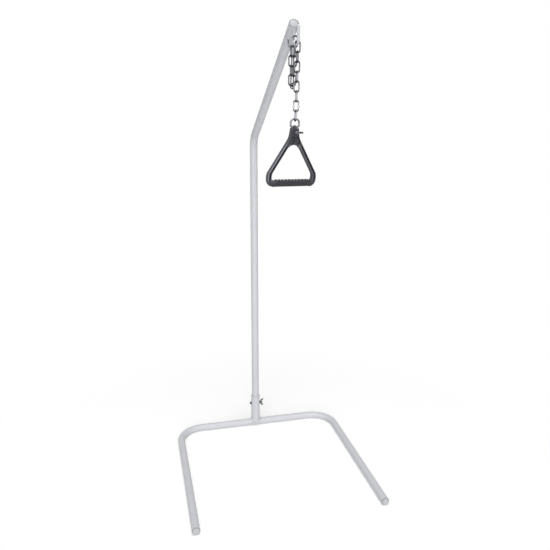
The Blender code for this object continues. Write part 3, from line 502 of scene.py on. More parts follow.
def nut_steel(name, colour, wing_colour, boss):
    """A cast wing nut: the boss is rubbed brighter than the wings."""
    coat = Finish(name, 0.40, metallic=1.0)
    wing = coat.spread(coat.size(coat.axis("X")), boss * 0.45, boss * 0.62)
    coat.base = coat.blend(wing, plating(coat, colour, 0.7), plating(coat, wing_colour, 0.7))
    return tumbled(coat, 0.40)


def chain_steel(name, colour, contact_shade_colour, roughness):
    """Plated wire of the links, with painted shade at both ends, where the links meet one another."""
    coat = Finish(name, roughness, metallic=1.0)
    plating(coat, colour, 0.75)
    # Painted shade at both ends of the link, where it meets its neighbours.
    ragged = coat.times(coat.noise(260.0, 3.0), 0.004)
    height = coat.math("ADD", coat.size(coat.axis("Z")), ragged)
    coat.lay(coat.spread(height, 0.0105, 0.0160), contact_shade_colour)
    return tumbled(coat, roughness)


# Mesh building

def show(name, data):
    made = bpy.data.objects.new(name, data)
    bpy.context.scene.collection.objects.link(made)
    return made


def make_piece(name, bm, coat):
    bmesh.ops.recalc_face_normals(bm, faces=bm.faces)
    mesh = bpy.data.meshes.new(name)
    bm.to_mesh(mesh)
    bm.free()
    mesh.shade_smooth()
    mesh.set_sharp_from_angle(angle=SHARP_ANGLE)
    if coat:
        mesh.materials.append(coat)
    return show(name, mesh)


def settle(piece, matrix, body, slot, *nodes):
    """Put a piece in place, let it move with its body, and hide the CAD nodes that it stands for."""
    piece.matrix_world = matrix
    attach(piece, body)
    if nodes:
        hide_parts(*nodes)


def modify(target, kind, **settings):
    """Put a modifier on a piece and keep its result as the piece's mesh."""
    modifier = target.modifiers.new(kind, kind)
    for key, value in settings.items():
        setattr(modifier, key, value)
    bpy.context.view_layer.update()
    evaluated = target.evaluated_get(bpy.context.evaluated_depsgraph_get())
    result = bpy.data.meshes.new_from_object(evaluated)
    target.modifiers.clear()
    target.data = result
    result.name = target.name


def boolean(target, tool, operation="DIFFERENCE"):
    modify(target, "BOOLEAN", operation=operation, solver="EXACT", object=tool)
    bpy.data.objects.remove(tool)
    target.data.set_sharp_from_angle(angle=SHARP_ANGLE)


def shares(steps):
    """Even steps from 0 to 1, both included."""
    return [step / steps for step in range(steps + 1)]


def round_turn(sides, first=0.0):
    """Even angles round a full turn."""
    return [tau * (k + first) / sides for k in range(sides)]


def bridge(bm, first, second):
    """Join two rings of as many points, or a ring and a single point."""
    count = max(len(first), len(second))
    for i in range(count):
        quad = [ring[k % len(ring)] for ring, k in ((first, i), (first, i + 1), (second, i + 1), (second, i))]
        corners = list(dict.fromkeys(quad))
        if len(corners) > 2:
            bm.faces.new(corners)


def stack(name, layers, coat=None, closed=False):
    """Join rings of points one to the next, and close both ends or join the last to the first."""
    bm = bmesh.new()
    rings = [[bm.verts.new(point) for point in layer] for layer in layers]
    for first, second in zip(rings, rings[1:]):
        bridge(bm, first, second)
    if closed:
        bridge(bm, rings[-1], rings[0])
    else:
        bm.faces.new(rings[0])
        bm.faces.new(rings[-1])
    return make_piece(name, bm, coat)


def rounded_path(corners, radii, steps):
    """Points along straight runs whose corners are replaced by arcs; a radius of 0 keeps the corner."""
    corners = [Vector(corner) for corner in corners]
    points = []
    for i, (here, radius) in enumerate(zip(corners, radii)):
        if radius == 0:
            points.append(here)
            continue
        back = (corners[i - 1] - here).normalized()
        ahead = (corners[(i + 1) % len(corners)] - here).normalized()
        half = back.angle(ahead) / 2
        centre = here + (back + ahead).normalized() * (radius / sin(half))
        start = here + back * (radius / tan(half)) - centre
        end = here + ahead * (radius / tan(half)) - centre
        axis = start.cross(end).normalized()
        points += [centre + Matrix.Rotation(start.angle(end) * t, 3, axis) @ start for t in shares(steps)]
    return points


def tube_rings(path, normal, radii, sides, closed):
    """Rings of points round a flat path, mitred at its corners."""
    rings = []
    for i, point in enumerate(path):
        arriving = (point - path[i - 1]).normalized()
        leaving = (path[(i + 1) % len(path)] - point).normalized()
        if not closed and i == 0:
            arriving = leaving
        if not closed and i == len(path) - 1:
            leaving = arriving
        along = (arriving + leaving).normalized()
        across = normal.cross(along).normalized()
        across *= 1 / max(along.dot(leaving), 0.5)
        rings.append([point + (normal * cos(a) + across * sin(a)) * radii[i] for a in round_turn(sides, 0.5)])
    return rings


def sweep(name, path, normal, radii, sides, coat=None, closed=False, bore=None):
    """A round bar along a flat path, or a tube where the radius of its bore is given."""
    radii = [radii] * len(path) if isinstance(radii, float) else radii
    rings = tube_rings(path, Vector(normal), radii, sides, closed)
    if bore:
        rings += tube_rings(path, Vector(normal), [bore] * len(path), sides, closed)[::-1]
    return stack(name, rings, coat, closed or bool(bore))


def lathe(name, profile, sides, coat=None):
    """Turn a closed profile of (radius, height) about Z; a point on the axis stays one point."""
    layers = []
    for radius, height in profile:
        angles = round_turn(sides, 0.5) if radius > TINY else [0]
        layers.append([(radius * cos(a), radius * sin(a), height) for a in angles])
    return stack(name, layers, coat, closed=True)


def flat_line(corners, radii, steps):
    """A rounded line in an upright plane, as (x, height or depth) points."""
    return [(point.x, point.z) for point in rounded_path([(x, 0, rise) for x, rise in corners], radii, steps)]


def bar_tool(radius, start, end, sides):
    start, end = Vector(start), Vector(end)
    normal = (end - start).normalized().orthogonal().normalized()
    return sweep("tool", [start, end], normal, radius, sides)


def offset_outline(points, distance):
    """Move a closed flat outline outwards, or inwards where the distance is negative."""
    line = [Vector(point) for point in points]
    if sum(line[i - 1].cross(here) for i, here in enumerate(line)) < 0:
        distance = -distance
    moved = []
    for i, here in enumerate(line):
        bend = (here - line[i - 1]).normalized() + (line[(i + 1) % len(line)] - here).normalized()
        moved.append(tuple(here + Vector((bend.y, -bend.x)) * (distance * 2 / max(bend.length_squared, 0.5))))
    return moved


def quarter_round(edge, steps):
    """How far in and how far off each step of a rounded edge lies."""
    angles = [pi / 2 * t for t in shares(steps)]
    return [(edge * (1 - cos(a)), edge * (1 - sin(a))) for a in angles]


def with_mirror(layers):
    """Layers of (place, offset) on one side of a middle plane, and the same on its other side."""
    return [*layers, *((-place, offset) for place, offset in reversed(layers))]


# Where things are, from the frame

def joint(name):
    found = next(j for j in frame["joints"] if j["name"] == name)
    return Vector(found["pos_m"]), Vector(found["axis"])


def middle_of_crossbar():
    low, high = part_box("base_tube")
    radius = (high.z - low.z) / 2
    return Vector(((low.x + high.x) / 2, high.y - radius, low.z + radius)), radius


def own_frame(node):
    """The middle of a CAD node with its long way as Z and its thin way as Y."""
    points = np.unique(np.array([v.co for v in frame["nodes"][node].data.vertices]).round(6), axis=0)
    centre = points.mean(axis=0)
    _, directions = np.linalg.eigh(np.cov((points - centre).T))
    thin, long = Vector(directions[:, 0]), Vector(directions[:, 2])
    long = long if long.z > 0 else -long
    thin = thin if thin.x + thin.y < 0 else -thin
    return frame_at(Vector(centre), thin.cross(long), thin, long)


def handle_frame(origin):
    """The handle's own directions at rest: X along its ring bar, -Y along its neck screw."""
    across = joint("handle_tilt")[1].normalized()
    back = -joint("neck_nut_turn")[1].normalized()
    return frame_at(origin, across, back, across.cross(back))


def frame_at(origin, *axes):
    matrix = Matrix(axes).transposed().to_4x4()
    matrix.translation = origin
    return matrix


def standing(x=0.0, y=0.0, z=0.0, rotation=Matrix.Identity(4)):
    """A place measured from the middle of the crossbar."""
    return Matrix.Translation(CROSSBAR + Vector((x, y, z))) @ rotation


def on_stand(piece, node):
    """Settle a painted piece whose shape is drawn from the middle of the crossbar."""
    settle(piece, standing(), "stand", "grey_paint", node)


def turned(angle, axis):
    return Matrix.Rotation(angle, 4, axis)


def raised(height):
    return Matrix.Translation((0, 0, height))


# Tubes, plugs and socket

def bent_tube(name, corners, radius, bend_radius, normal):
    """A painted tube whose cut ends are lightly rounded."""
    path = rounded_path(corners, [0] + [bend_radius] * (len(corners) - 2) + [0], BEND_STEPS)
    first = (path[1] - path[0]).normalized()
    last = (path[-2] - path[-1]).normalized()
    path = [path[0], path[0] + first * TUBE_LIP] + path[1:-1] + [path[-1] + last * TUBE_LIP, path[-1]]
    radii = [radius - TUBE_LIP] + [radius] * (len(path) - 2) + [radius - TUBE_LIP]
    return sweep(name, path, normal, radii, TUBE_SIDES, PAINT, bore=radius - TUBE_WALL)


def base_tube():
    low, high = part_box("base_tube")
    half = (high.x - low.x) / 2 - BASE_RADIUS
    length = CROSSBAR.y - low.y
    corners = [(-half, -length, 0), (-half, 0, 0), (half, 0, 0), (half, -length, 0)]
    tube = bent_tube("base_tube_shown", corners, BASE_RADIUS, BASE_BEND_RADIUS, (0, 0, 1))
    on_stand(tube, "base_tube")
    for side, x in (("left", -half), ("right", half)):
        shown = plug(f"leg_plug_{side}_shown", BASE_RADIUS, LEG_PLUG_DOME, PLUG_PLASTIC)
        place = standing(x, -length, 0, turned(pi / 2, "X"))
        settle(shown, place, "stand", "grey_plastic", f"leg_plug_{side}")


def plug(name, radius, dome, coat):
    """A moulded plug standing on a tube end at z = 0: domed head with a gate dimple, and a hollow stem."""
    stem = radius - TUBE_WALL - SEAT_GAP
    crown = radius - PLUG_CORNER
    seat = SEAT_GAP * 0.5
    rim = seat + PLUG_RIM
    pit = seat + dome - DIMPLE_DEPTH
    profile = [(0, pit), (DIMPLE_RADIUS * 0.7, pit)]
    first = asin(DIMPLE_RADIUS / crown)
    for t in shares(DOME_STEPS):
        angle = first + (pi / 2 - first) * t
        profile.append((crown * sin(angle), rim + (dome - PLUG_RIM) * cos(angle)))
    profile += [(radius - PLUG_CORNER * 0.25, rim - PLUG_CORNER * 0.5), (radius, rim - PLUG_CORNER * 1.4)]
    profile += [(radius, seat + PLUG_FOOT), (radius - PLUG_FOOT, seat)]
    end, bore = seat - PLUG_STEM, stem - PLUG_STEM_WALL
    profile += [(stem, seat), (stem, end), (bore, end), (bore, seat), (0, seat)]
    return lathe(name, profile, TUBE_SIDES, coat)


def mast_and_arm():
    corners = [(0, 0, BASE_RADIUS + SEAT_GAP), (0, 0, MAST_HEIGHT), tuple(ARM_END)]
    tube = bent_tube("mast_arm_shown", corners, MAST_RADIUS, ARM_BEND_RADIUS, (1, 0, 0))
    on_stand(tube, "mast_arm_tube")
    cap = plug("arm_end_cap_shown", MAST_RADIUS, ARM_CAP_DOME, SHADED_CAP_PLASTIC)
    place = standing(*ARM_END, turned(pi / 2 - ARM_RISE_ANGLE, "X"))
    settle(cap, place, "stand", "grey_plastic", "arm_end_cap")


def socket():
    outer = SOCKET_DIAMETER / 2
    inner = outer - SOCKET_WALL
    corners = [(inner, SOCKET_FOOT), (outer, SOCKET_FOOT), (outer, SOCKET_TOP), (inner, SOCKET_TOP)]
    tube = lathe("socket_shown", flat_line(corners, [0, 0, 0.0005, 0.0003], 4), TUBE_SIDES, PAINT)
    boolean(tube, bar_tool(BASE_RADIUS, (-outer * 2, 0, 0), (outer * 2, 0, 0), TUBE_SIDES * 2))
    on_stand(tube, "socket_tube")
    sleeve = inner - SEAT_GAP
    bore = MAST_RADIUS + SEAT_GAP * 0.5
    lip = outer + BUSH_LIP_PROUD
    seat = SOCKET_TOP + SEAT_GAP * 0.5
    foot = seat - BUSH_LENGTH
    top = seat + BUSH_LIP_HEIGHT
    corners = [(bore, foot), (sleeve, foot), (sleeve, seat), (lip, seat), (lip, top), (bore, top)]
    rounds = [0, 0, 0, 0.0004, 0.0011, 0.0004]
    bush = lathe("socket_bush_shown", flat_line(corners, rounds, 4), TUBE_SIDES, GREY_PLASTIC)
    settle(bush, standing(), "stand", "grey_plastic", "socket_bush")


def weld_bead():
    """The fillet round the socket's foot, laid in short ripples."""
    outer = SOCKET_DIAMETER / 2
    stations, steps = 288, 7
    ripples = round(tau * outer / WELD_RIPPLE)
    layers = []
    for angle in round_turn(stations):
        leg = WELD_LEG_FRONT + (WELD_LEG_SIDE - WELD_LEG_FRONT) * cos(angle) ** 2
        leg += WELD_SWAY * sin(3 * angle + 0.7)
        section = [(-WELD_ROOT, -WELD_ROOT * 2.5), (leg * 0.9, -WELD_ROOT * 2.5)]
        for t in shares(steps):
            swell = WELD_RIPPLE_HEIGHT * sin(pi * t)
            wave = swell * (0.5 + 0.5 * cos(ripples * angle - WELD_RIPPLE_LAG * sin(pi * t)))
            slope = Vector(((1 - t) ** WELD_HOLLOW, t ** WELD_HOLLOW))
            section.append(leg * slope + slope.normalized() * wave)
        section.append((-WELD_ROOT, leg))
        layer = []
        for reach, height in section:
            radius = outer + reach
            across = min(abs(radius * sin(angle)), BASE_RADIUS)
            base = max(sqrt(BASE_RADIUS ** 2 - across ** 2), SOCKET_FOOT)
            layer.append((radius * cos(angle), radius * sin(angle), base + height))
        layers.append(layer)
    bead = stack("weld_bead_shown", layers, WELD, closed=True)
    on_stand(bead, "weld_bead")


# Screws, washers and wing nuts

def hex_head(name, screw):
    """A forged hexagon head with a chamfered crown and a shallow dished top, its seat at z = 0."""
    corner = screw.head / sqrt(3)
    top = -screw.head_height
    hexagon = [(corner * cos(a), corner * sin(a)) for a in round_turn(6)]
    prism = stack(name, [[(x, y, z) for x, y in hexagon] for z in (top, 0)], DARK_ZINC)
    half = screw.head / 2
    profile = [(0, top + HEAD_DISH), (half * 0.55, top + HEAD_DISH), (half * 0.68, top), (half * 0.97, top)]
    profile += [(corner * 1.02, top + HEAD_CHAMFER), (corner * 1.02, -HEAD_FACE * 1.6)]
    profile += [(half * 0.97, -HEAD_FACE), (half * 0.97, 0), (0, 0)]
    boolean(prism, lathe("tool", profile, 72), "INTERSECT")
    modify(prism, "BEVEL", width=HEAD_EDGE, segments=2, limit_method="ANGLE", angle_limit=radians(25))
    modify(prism, "WEIGHTED_NORMAL", keep_sharp=True, weight=70)
    return prism


def thread(name, screw, length):
    """The threaded shank from z = 0 up, its tip chamfered."""
    layers = []
    for t in shares(int(length / screw.pitch * THREAD_ROWS)):
        z = length * t
        layer = []
        for angle in round_turn(40):
            phase = (z / screw.pitch - angle / tau) % 1.0
            groove = THREAD_DEPTH * screw.pitch * (1 - abs(2 * phase - 1))
            reach = screw.shank / 2 - max(groove, (z - (length - THREAD_CHAMFER)) * 0.9)
            layer.append((reach * cos(angle), reach * sin(angle), z))
        layers.append(layer)
    return stack(name, layers, DARK_ZINC)


def washer(name, screw):
    bore, outer, top = screw.shank / 2, screw.washer / 2, screw.washer_height
    corners = [(bore, 0), (outer, 0), (outer, top), (bore, top)]
    return lathe(name, flat_line(corners, [0.0002, 0.0003, 0.0005, 0.0002], 3), 56, DARK_ZINC)


def wing_outline(nut):
    """One wing in its own plane: out from the boss, then up and away to a round tip."""
    half = nut.span / 2
    root = WING_ROOT_RISE * nut.height
    crook = WING_CROOK_RISE * nut.boss_height
    throat = WING_CROOK_IN * nut.boss
    corners = [(0, root), (throat, root), (WING_ELBOW_OUT * half, WING_ELBOW_RISE * nut.height),
               (half, WING_TIP_RISE * nut.height), (WING_TIP_IN * half, nut.height),
               (WING_NOTCH_IN * half, WING_NOTCH_RISE * nut.height), (throat, crook), (0, crook)]
    rounds = [share * half for share in (0, 0.20, 0.25, 0.08, 0.08, 0.12, 0, 0)]
    return flat_line(corners, rounds, 6)


def wing_nut(name, nut, coat):
    """A cast wing nut standing on z = 0 with its wings along X, softened as castings are."""
    side, top = nut.boss / 2, nut.boss_height
    corners = [(0, 0), (side, 0), (side, 0.25 * top), (side - BOSS_TAPER, top), (0, top)]
    made = lathe(name, flat_line(corners, [0, 0.0004, 0.001, 0.0008, 0], 4), 48, coat)
    thick = nut.wing * nut.span
    for flip in (1, -1):
        flat = [(flip * x, z) for x, z in wing_outline(nut)]
        layers = [[(x, y * thick, z) for x, z in offset_outline(flat, -shrink)]
                  for y, shrink in with_mirror(WING_EDGES)]
        boolean(made, stack("tool", layers), "UNION")
    modify(made, "REMESH", mode="VOXEL", voxel_size=nut.span / CASTING_GRAINS)
    modify(made, "SMOOTH", factor=0.5, iterations=7)
    boolean(made, bar_tool(nut.shank / 2 + 0.0001, (0, 0, -nut.height), (0, 0, nut.height * 2), 48))
    made.data.shade_smooth()
    made.data.set_sharp_from_angle(angle=radians(50))
    return made


def screw_set(prefix, body, matrix, grip, screw, washers, turn, nut_coat):
    """A head, washers and a wing nut on a screw that grips from z = 0 to z = grip.

    The matrix puts the head's seat at z = 0 with the screw running up Z.
    """
    head = hex_head(f"{prefix}_head_shown", screw)
    settle(head, matrix, body, "dark_zinc_steel", f"{prefix}_bolt")
    shank = thread(f"{prefix}_thread_shown", screw, grip + screw.boss_height + screw.end)
    settle(shank, matrix, body, "dark_zinc_steel")
    for node, height in washers:
        settle(washer(f"{node}_shown", screw), matrix @ raised(height), body, "dark_zinc_steel", node)
    nut = wing_nut(f"{prefix}_wing_nut_shown", screw, nut_coat)
    place = matrix @ raised(grip) @ turned(turn, "Z")
    settle(nut, place, f"{prefix}_nut", "dark_zinc_steel", f"{prefix}_wing_nut")


def clamp_set():
    face = SOCKET_DIAMETER / 2 + SEAT_GAP
    seat = face + CLAMP.washer_height + SEAT_GAP
    matrix = standing(-seat, 0, CLAMP_HEIGHT, turned(pi / 2, "Y"))
    washers = [("head_washer", seat - face - CLAMP.washer_height), ("nut_washer", seat + face)]
    screw_set("clamp", "stand", matrix, 2 * seat, CLAMP, washers, 0.0, CLAMP_NUT_STEEL)


def neck_set():
    face = HALF_THICKNESS + SEAT_GAP
    seat = 2 * face
    grip = seat + NECK.washer_height + SEAT_GAP
    matrix = HANDLE @ Matrix.Translation((0, face, -NECK_DROP - NECK_BOLT_DEPTH)) @ turned(pi / 2, "X")
    washers = [("neck_washer", seat)]
    screw_set("neck", "grab_handle", matrix, grip, NECK, washers, NECK_NUT_TURN, NECK_NUT_STEEL)


# Hook and staple

def arm_place(setback, drop):
    """A point in the arm's upright plane, behind the tube's end and below the tube's underside."""
    down = Vector((0, -sin(ARM_RISE_ANGLE), -cos(ARM_RISE_ANGLE)))
    return ARM_END + ARM_BACK * setback + down * (MAST_DIAMETER / 2 + drop)


def curve_of_mast(aside):
    """How far the tube's surface has fallen away at a distance from its middle."""
    return MAST_RADIUS - sqrt(MAST_RADIUS ** 2 - aside ** 2)


def root_weld(name, place, radius, reach):
    """A small ring of weld where a rod meets the arm's underside."""
    stations, steps, ripples = 96, 4, 14
    layers = []
    for angle in round_turn(stations):
        leg = reach * (1 + 0.08 * cos(ripples * angle) + 0.06 * sin(2 * angle + 0.4))
        curve = curve_of_mast(sin(angle) * (radius + reach * 0.5))
        section = [(-ROOT_WELD_INSIDE, ROOT_WELD_DEPTH - curve), (leg, ROOT_WELD_DEPTH - curve)]
        for t in shares(steps):
            section.append((leg * (1 - t) ** ROOT_WELD_HOLLOW, -leg * t ** ROOT_WELD_HOLLOW - curve))
        section.append((-ROOT_WELD_INSIDE, -leg))
        across, along = sin(angle), cos(angle)
        layers.append([((radius + out) * across, (radius + out) * along, z) for out, z in section])
    bead = stack(name, layers, WELD, closed=True)
    settle(bead, standing(*place, turned(-ARM_RISE_ANGLE, "X")), "stand", "grey_paint")


def arm_hook():
    start = arm_place(HOOK_SETBACK, -ROD_SINK)
    knee = arm_place(HOOK_SETBACK, HOOK_NECK)
    bottom = knee + Vector((0, -cos(HOOK_SLOPE), -sin(HOOK_SLOPE))) * HOOK_SHANK
    tip = bottom + Vector((0, 0, HOOK_LIP_HEIGHT))
    path = rounded_path([start, knee, bottom, tip], [0, HOOK_KNEE_RADIUS, HOOK_BEND_RADIUS, 0], 18)
    radius = HOOK_ROD / 2
    radii = [radius] * len(path)
    for t in shares(8)[1:-1]:
        angle = pi / 2 * t
        path.append(tip + Vector((0, 0, radius * sin(angle) * 0.988)))
        radii.append(radius * cos(angle))
    hook = sweep("arm_hook_shown", path, (1, 0, 0), radii, 32, SHADED_HOOK_PAINT)
    on_stand(hook, "arm_hook")
    root_weld("hook_weld_shown", arm_place(HOOK_SETBACK, 0), radius, ROOT_WELD_REACH)


def chain_staple():
    half = (STAPLE_WIDTH - STAPLE_WIRE) / 2
    aside = Vector((half, 0, 0))
    root = arm_place(STAPLE_SETBACK, -curve_of_mast(half) - ROD_SINK)
    bar = arm_place(STAPLE_SETBACK, STAPLE_DROP)
    corners = [root - aside, bar - aside, bar + aside, root + aside]
    path = rounded_path(corners, [0, STAPLE_CORNER, STAPLE_CORNER, 0], 12)
    staple = sweep("chain_staple_shown", path, ARM_BACK, STAPLE_WIRE / 2, 24, ZINC)
    settle(staple, standing(), "stand", "zinc_steel", "chain_staple")


# Chain and ring

def link_mesh(coat):
    """One link about its own middle, long way up Z, with its butt weld on one side."""
    arc = (LINK_HOLE + LINK_WIRE) / 2
    run = (LINK_PITCH + LINK_WIRE + SEAT_GAP) / 2 - arc
    steps, straight_steps = 18, 12
    path = []
    radii = []
    for end in (1, -1):
        for t in shares(steps):
            path.append(Vector((end * arc * cos(pi * t), 0, end * (run + arc * sin(pi * t)))))
            radii.append(LINK_WIRE / 2)
        for t in shares(straight_steps)[1:-1]:
            z = end * run * (1 - 2 * t)
            swell = exp(-(z / (LINK_SEAM / 2)) ** 2) if end > 0 else 0.0
            path.append(Vector((-end * arc, 0, z)))
            radii.append(LINK_WIRE / 2 * (1 + LINK_SEAM_SWELL * swell))
    link = sweep("link_mesh", path, (0, 1, 0), radii, 20, coat, closed=True)
    mesh = link.data
    bpy.data.objects.remove(link)
    return mesh


def chain():
    """Links of one plating in painted shade above and in the spare chain, half shaded below them, and painted
    light by the handle and on the hook.
    """
    dark, painted_light, bright = (link_mesh(coat) for coat in (SHADED_CHAIN, HALF_SHADED_CHAIN, CHAIN))
    main = [dark] * SHADED_LINKS + [painted_light] * HALF_SHADED_LINKS + [bright] * LIT_LINKS
    spare = [dark] * (SLACK_LINKS - 1) + [bright]
    chains = [(f"chain_link_{k}", f"link_{k}", mesh) for k, mesh in enumerate(main, 1)]
    chains += [(f"slack_link_{k}", "slack_chain", mesh) for k, mesh in enumerate(spare, 1)]
    for node, body, mesh in chains:
        settle(show(f"{node}_shown", mesh), own_frame(node), body, "zinc_steel", node)


def hanger_ring():
    """A ring with round shoulders and a straight bar below."""
    half = (RING_WIDTH - RING_WIRE) / 2
    rise = (LINK_WIRE + RING_WIRE) / 2 + SEAT_GAP
    bar = rise - (RING_HEIGHT - RING_WIRE)
    corners = [(-half, 0, bar), (half, 0, bar), (half, 0, rise), (-half, 0, rise)]
    path = rounded_path(corners, [RING_CORNER, RING_CORNER, RING_SHOULDER, RING_SHOULDER], 16)
    ring = sweep("hanger_ring_shown", path, (0, 1, 0), RING_WIRE / 2, 28, ZINC, closed=True)
    settle(ring, handle_frame(joint("ring_swing")[0]), "ring", "zinc_steel", "hanger_ring")


def hanger_strap():
    """A strip folded over the ring's bar, with both ends down in the neck's slot."""
    inner = RING_WIRE / 2 + SEAT_GAP
    outer = inner + STRAP_THICKNESS
    foot = -STRAP_LENGTH
    arch = [(cos(pi * t), sin(pi * t)) for t in shares(24)]
    outline = [(outer, foot), *((outer * y, outer * z) for y, z in arch), (-outer, foot)]
    outline += [(-inner, foot), *((inner * y, inner * z) for y, z in arch[::-1]), (inner, foot)]
    half = STRAP_WIDTH / 2
    edges = [(-half, STRAP_EDGE), (-half + STRAP_EDGE * 0.4, STRAP_EDGE * 0.3), (-half + STRAP_EDGE, 0)]
    layers = [[(x, y, z) for y, z in offset_outline(outline, -shrink)] for x, shrink in with_mirror(edges)]
    strap = stack("hanger_strap_shown", layers, DARK_ZINC)
    settle(strap, HANDLE, "grab_handle", "dark_zinc_steel", "hanger_strap")


# The moulded handle

def handle_outline():
    """Neck, slanting arms, hips and round heels, closed by their mirror image."""
    hip = HALF_WIDTH
    corners = [(0, 0), (NECK_WIDTH / 2, 0), (KNEE_WIDTH / 2, KNEE_DEPTH),
               (hip, HIP_DEPTH), (hip, HANDLE_HEIGHT), (0, HANDLE_HEIGHT)]
    half_line = flat_line(corners, [0, NECK_CORNER, KNEE_ROUND, HIP_ROUND, HEEL_ROUND, 0], 16)
    return half_line + [(-x, depth) for x, depth in reversed(half_line) if x > TINY]


def opening_outline():
    """The hand opening: a round arch, two slanting sides and the grip's flat top."""
    hip, low, floor = OPENING_HIP, OPENING_HIP_DEPTH, HANDLE_HEIGHT - GRIP_HEIGHT
    corners = [(0, OPENING_PEAK), (hip, low), (hip, floor), (-hip, floor), (-hip, low)]
    radii = [ARCH_ROUND, OPENING_HIP_ROUND, OPENING_CORNER, OPENING_CORNER, OPENING_HIP_ROUND]
    return flat_line(corners, radii, 20)


def plate_stack(outline, layers, name="tool", coat=None):
    """A piece across the plate, from layers of (y, outward offset of its outline)."""
    return stack(name, [[(x, y, -NECK_DROP - depth) for x, depth in offset_outline(outline, grow)]
                        for y, grow in layers], coat)


def plate():
    """The triangle with its hand opening, all their edges rounded."""
    edge = [(-HALF_THICKNESS + way, off) for way, off in quarter_round(HANDLE_EDGE, 5)]
    shrunk = with_mirror([(y, -off) for y, off in edge])
    body = plate_stack(handle_outline(), shrunk, "handle_shown", CHARCOAL)
    flared = with_mirror([(-HALF_THICKNESS - HANDLE_EDGE, HANDLE_EDGE * 1.6), *edge])
    boolean(body, plate_stack(opening_outline(), flared))
    return body


def pockets(body, outline):
    """Sink a pocket and its mirror image into the front and the back, leaving the web, edges eased."""
    ease = quarter_round(POCKET_EASE, 4)
    layers = [(HANDLE_WEB / 2 + way, -POCKET_DRAFT - off) for way, off in ease]
    layers += [(HALF_THICKNESS - way, off) for way, off in reversed(ease)]
    layers.append((HALF_THICKNESS + HANDLE_EDGE, POCKET_EASE * 2.2))
    for flip in (1, -1):
        flipped = [(flip * x, depth) for x, depth in outline]
        for side in (1, -1):
            boolean(body, plate_stack(flipped, [(side * y, grow) for y, grow in layers]))


def outer_side(depth):
    """Half width of the handle along its straight arm."""
    share = (depth - KNEE_DEPTH) / (HIP_DEPTH - KNEE_DEPTH)
    return KNEE_WIDTH / 2 + (HALF_WIDTH - KNEE_WIDTH / 2) * share


def inner_side(depth):
    return (depth - OPENING_PEAK) * tan(ARM_SPREAD)


def channel_middle():
    """Where the line down the middle of an arm starts, turns and ends."""
    hip = (HALF_WIDTH + OPENING_HIP) / 2
    start = (outer_side(CHANNEL_TOP) + inner_side(CHANNEL_TOP)) / 2
    return [(start, CHANNEL_TOP), (hip, (HIP_DEPTH + OPENING_HIP_DEPTH) / 2), (hip, CHANNEL_BOTTOM)]


def round_band(middle, half):
    """A band along an open flat line, with half-round ends inside the line's own ends."""
    line = [Vector(point) for point in middle]
    line[0] += (line[1] - line[0]).normalized() * half
    line[-1] -= (line[-1] - line[-2]).normalized() * half
    outline = []
    for side in (line, line[::-1]):
        for i, point in enumerate(side):
            ahead = (side[min(i + 1, len(side) - 1)] - side[max(i - 1, 0)]).normalized() * half
            left = Vector((-ahead.y, ahead.x))
            outline.append(tuple(point + left))
        outline += [tuple(point + left * cos(pi * t) + ahead * sin(pi * t)) for t in shares(10)[1:-1]]
    return outline


def arm_channels(body):
    """The long channels down the middle of the arms, which make them an I in section."""
    pockets(body, round_band(flat_line(channel_middle(), [0, CHANNEL_ROUND, 0], 16), CHANNEL_WIDTH / 2))


def neck_panels(body):
    """Two sunk panels under the neck with a rib between them; they follow the arch."""
    rib = PANEL_RIB / 2
    radius = ARCH_ROUND + HANDLE_RIM
    side = outer_side(PANEL_LOW) - HANDLE_RIM
    corners = [(rib, PANEL_TOP), (KNEE_WIDTH / 2 - HANDLE_RIM, PANEL_TOP), (side, PANEL_LOW)]
    steps = 12
    rounds = [PANEL_CORNER] * len(corners) + [0] * (steps + 1)
    last = asin(rib / radius)
    for t in shares(steps):
        angle = PANEL_SWEEP + (last - PANEL_SWEEP) * t
        corners.append((radius * sin(angle), ARCH_DEPTH + ARCH_ROUND - radius * cos(angle)))
    pockets(body, flat_line(corners, rounds, 6))


def grip_stations():
    """Places along the grip as (x, share of full depth, share of full height, ridge there)."""
    end = GRIP_REACH + GRIP_LAP
    slim = HANDLE_THICKNESS / GRIP_DEPTH * GRIP_END
    entry = []
    for t in shares(8):
        ease = t * t * (3 - 2 * t)
        entry.append((end - GRIP_TAPER * t, slim + (1 - slim) * ease, GRIP_END + (1 - GRIP_END) * ease, 0))
    middle = []
    count = RIDGE_COUNT * RIDGE_STEPS
    for k in range(count + 1):
        wave = (1 - cos(tau * k / RIDGE_STEPS)) / 2
        middle.append((RIDGE_COUNT * RIDGE_PITCH * (k / count - 0.5), 1.0, 1.0, wave * RIDGE_HEIGHT))
    return [(-x, *rest) for x, *rest in entry] + middle + entry[::-1]


def squared(value):
    """A sine or cosine drawn out, which makes a circle a rounded square."""
    return copysign(abs(value) ** GRIP_SQUARENESS, value)


def grip():
    """The hand bar: a rounded section along X whose upper side carries small ridges."""
    half_height = GRIP_HEIGHT / 2
    half_depth = GRIP_DEPTH / 2
    centre = NECK_DROP + HANDLE_HEIGHT - half_height + TINY
    layers = []
    for x, deep, high, ridge in grip_stations():
        layer = []
        for angle in round_turn(GRIP_SIDES, 0.5):
            wrap = ridge * max((sin(angle) + RIDGE_WRAP) / (1 + RIDGE_WRAP), 0.0)
            y = (half_depth * deep + wrap) * squared(cos(angle))
            layer.append((x, y, (half_height * high + wrap) * squared(sin(angle)) - centre))
        layers.append(layer)
    return stack("tool", layers)


def rectangle(half_x, half_y):
    return [(-half_x, -half_y), (half_x, -half_y), (half_x, half_y), (-half_x, half_y)]


def block_tool(half_x, half_y, low, high):
    return stack("tool", [[(x, y, z) for x, y in rectangle(half_x, half_y)] for z in (low, high)])


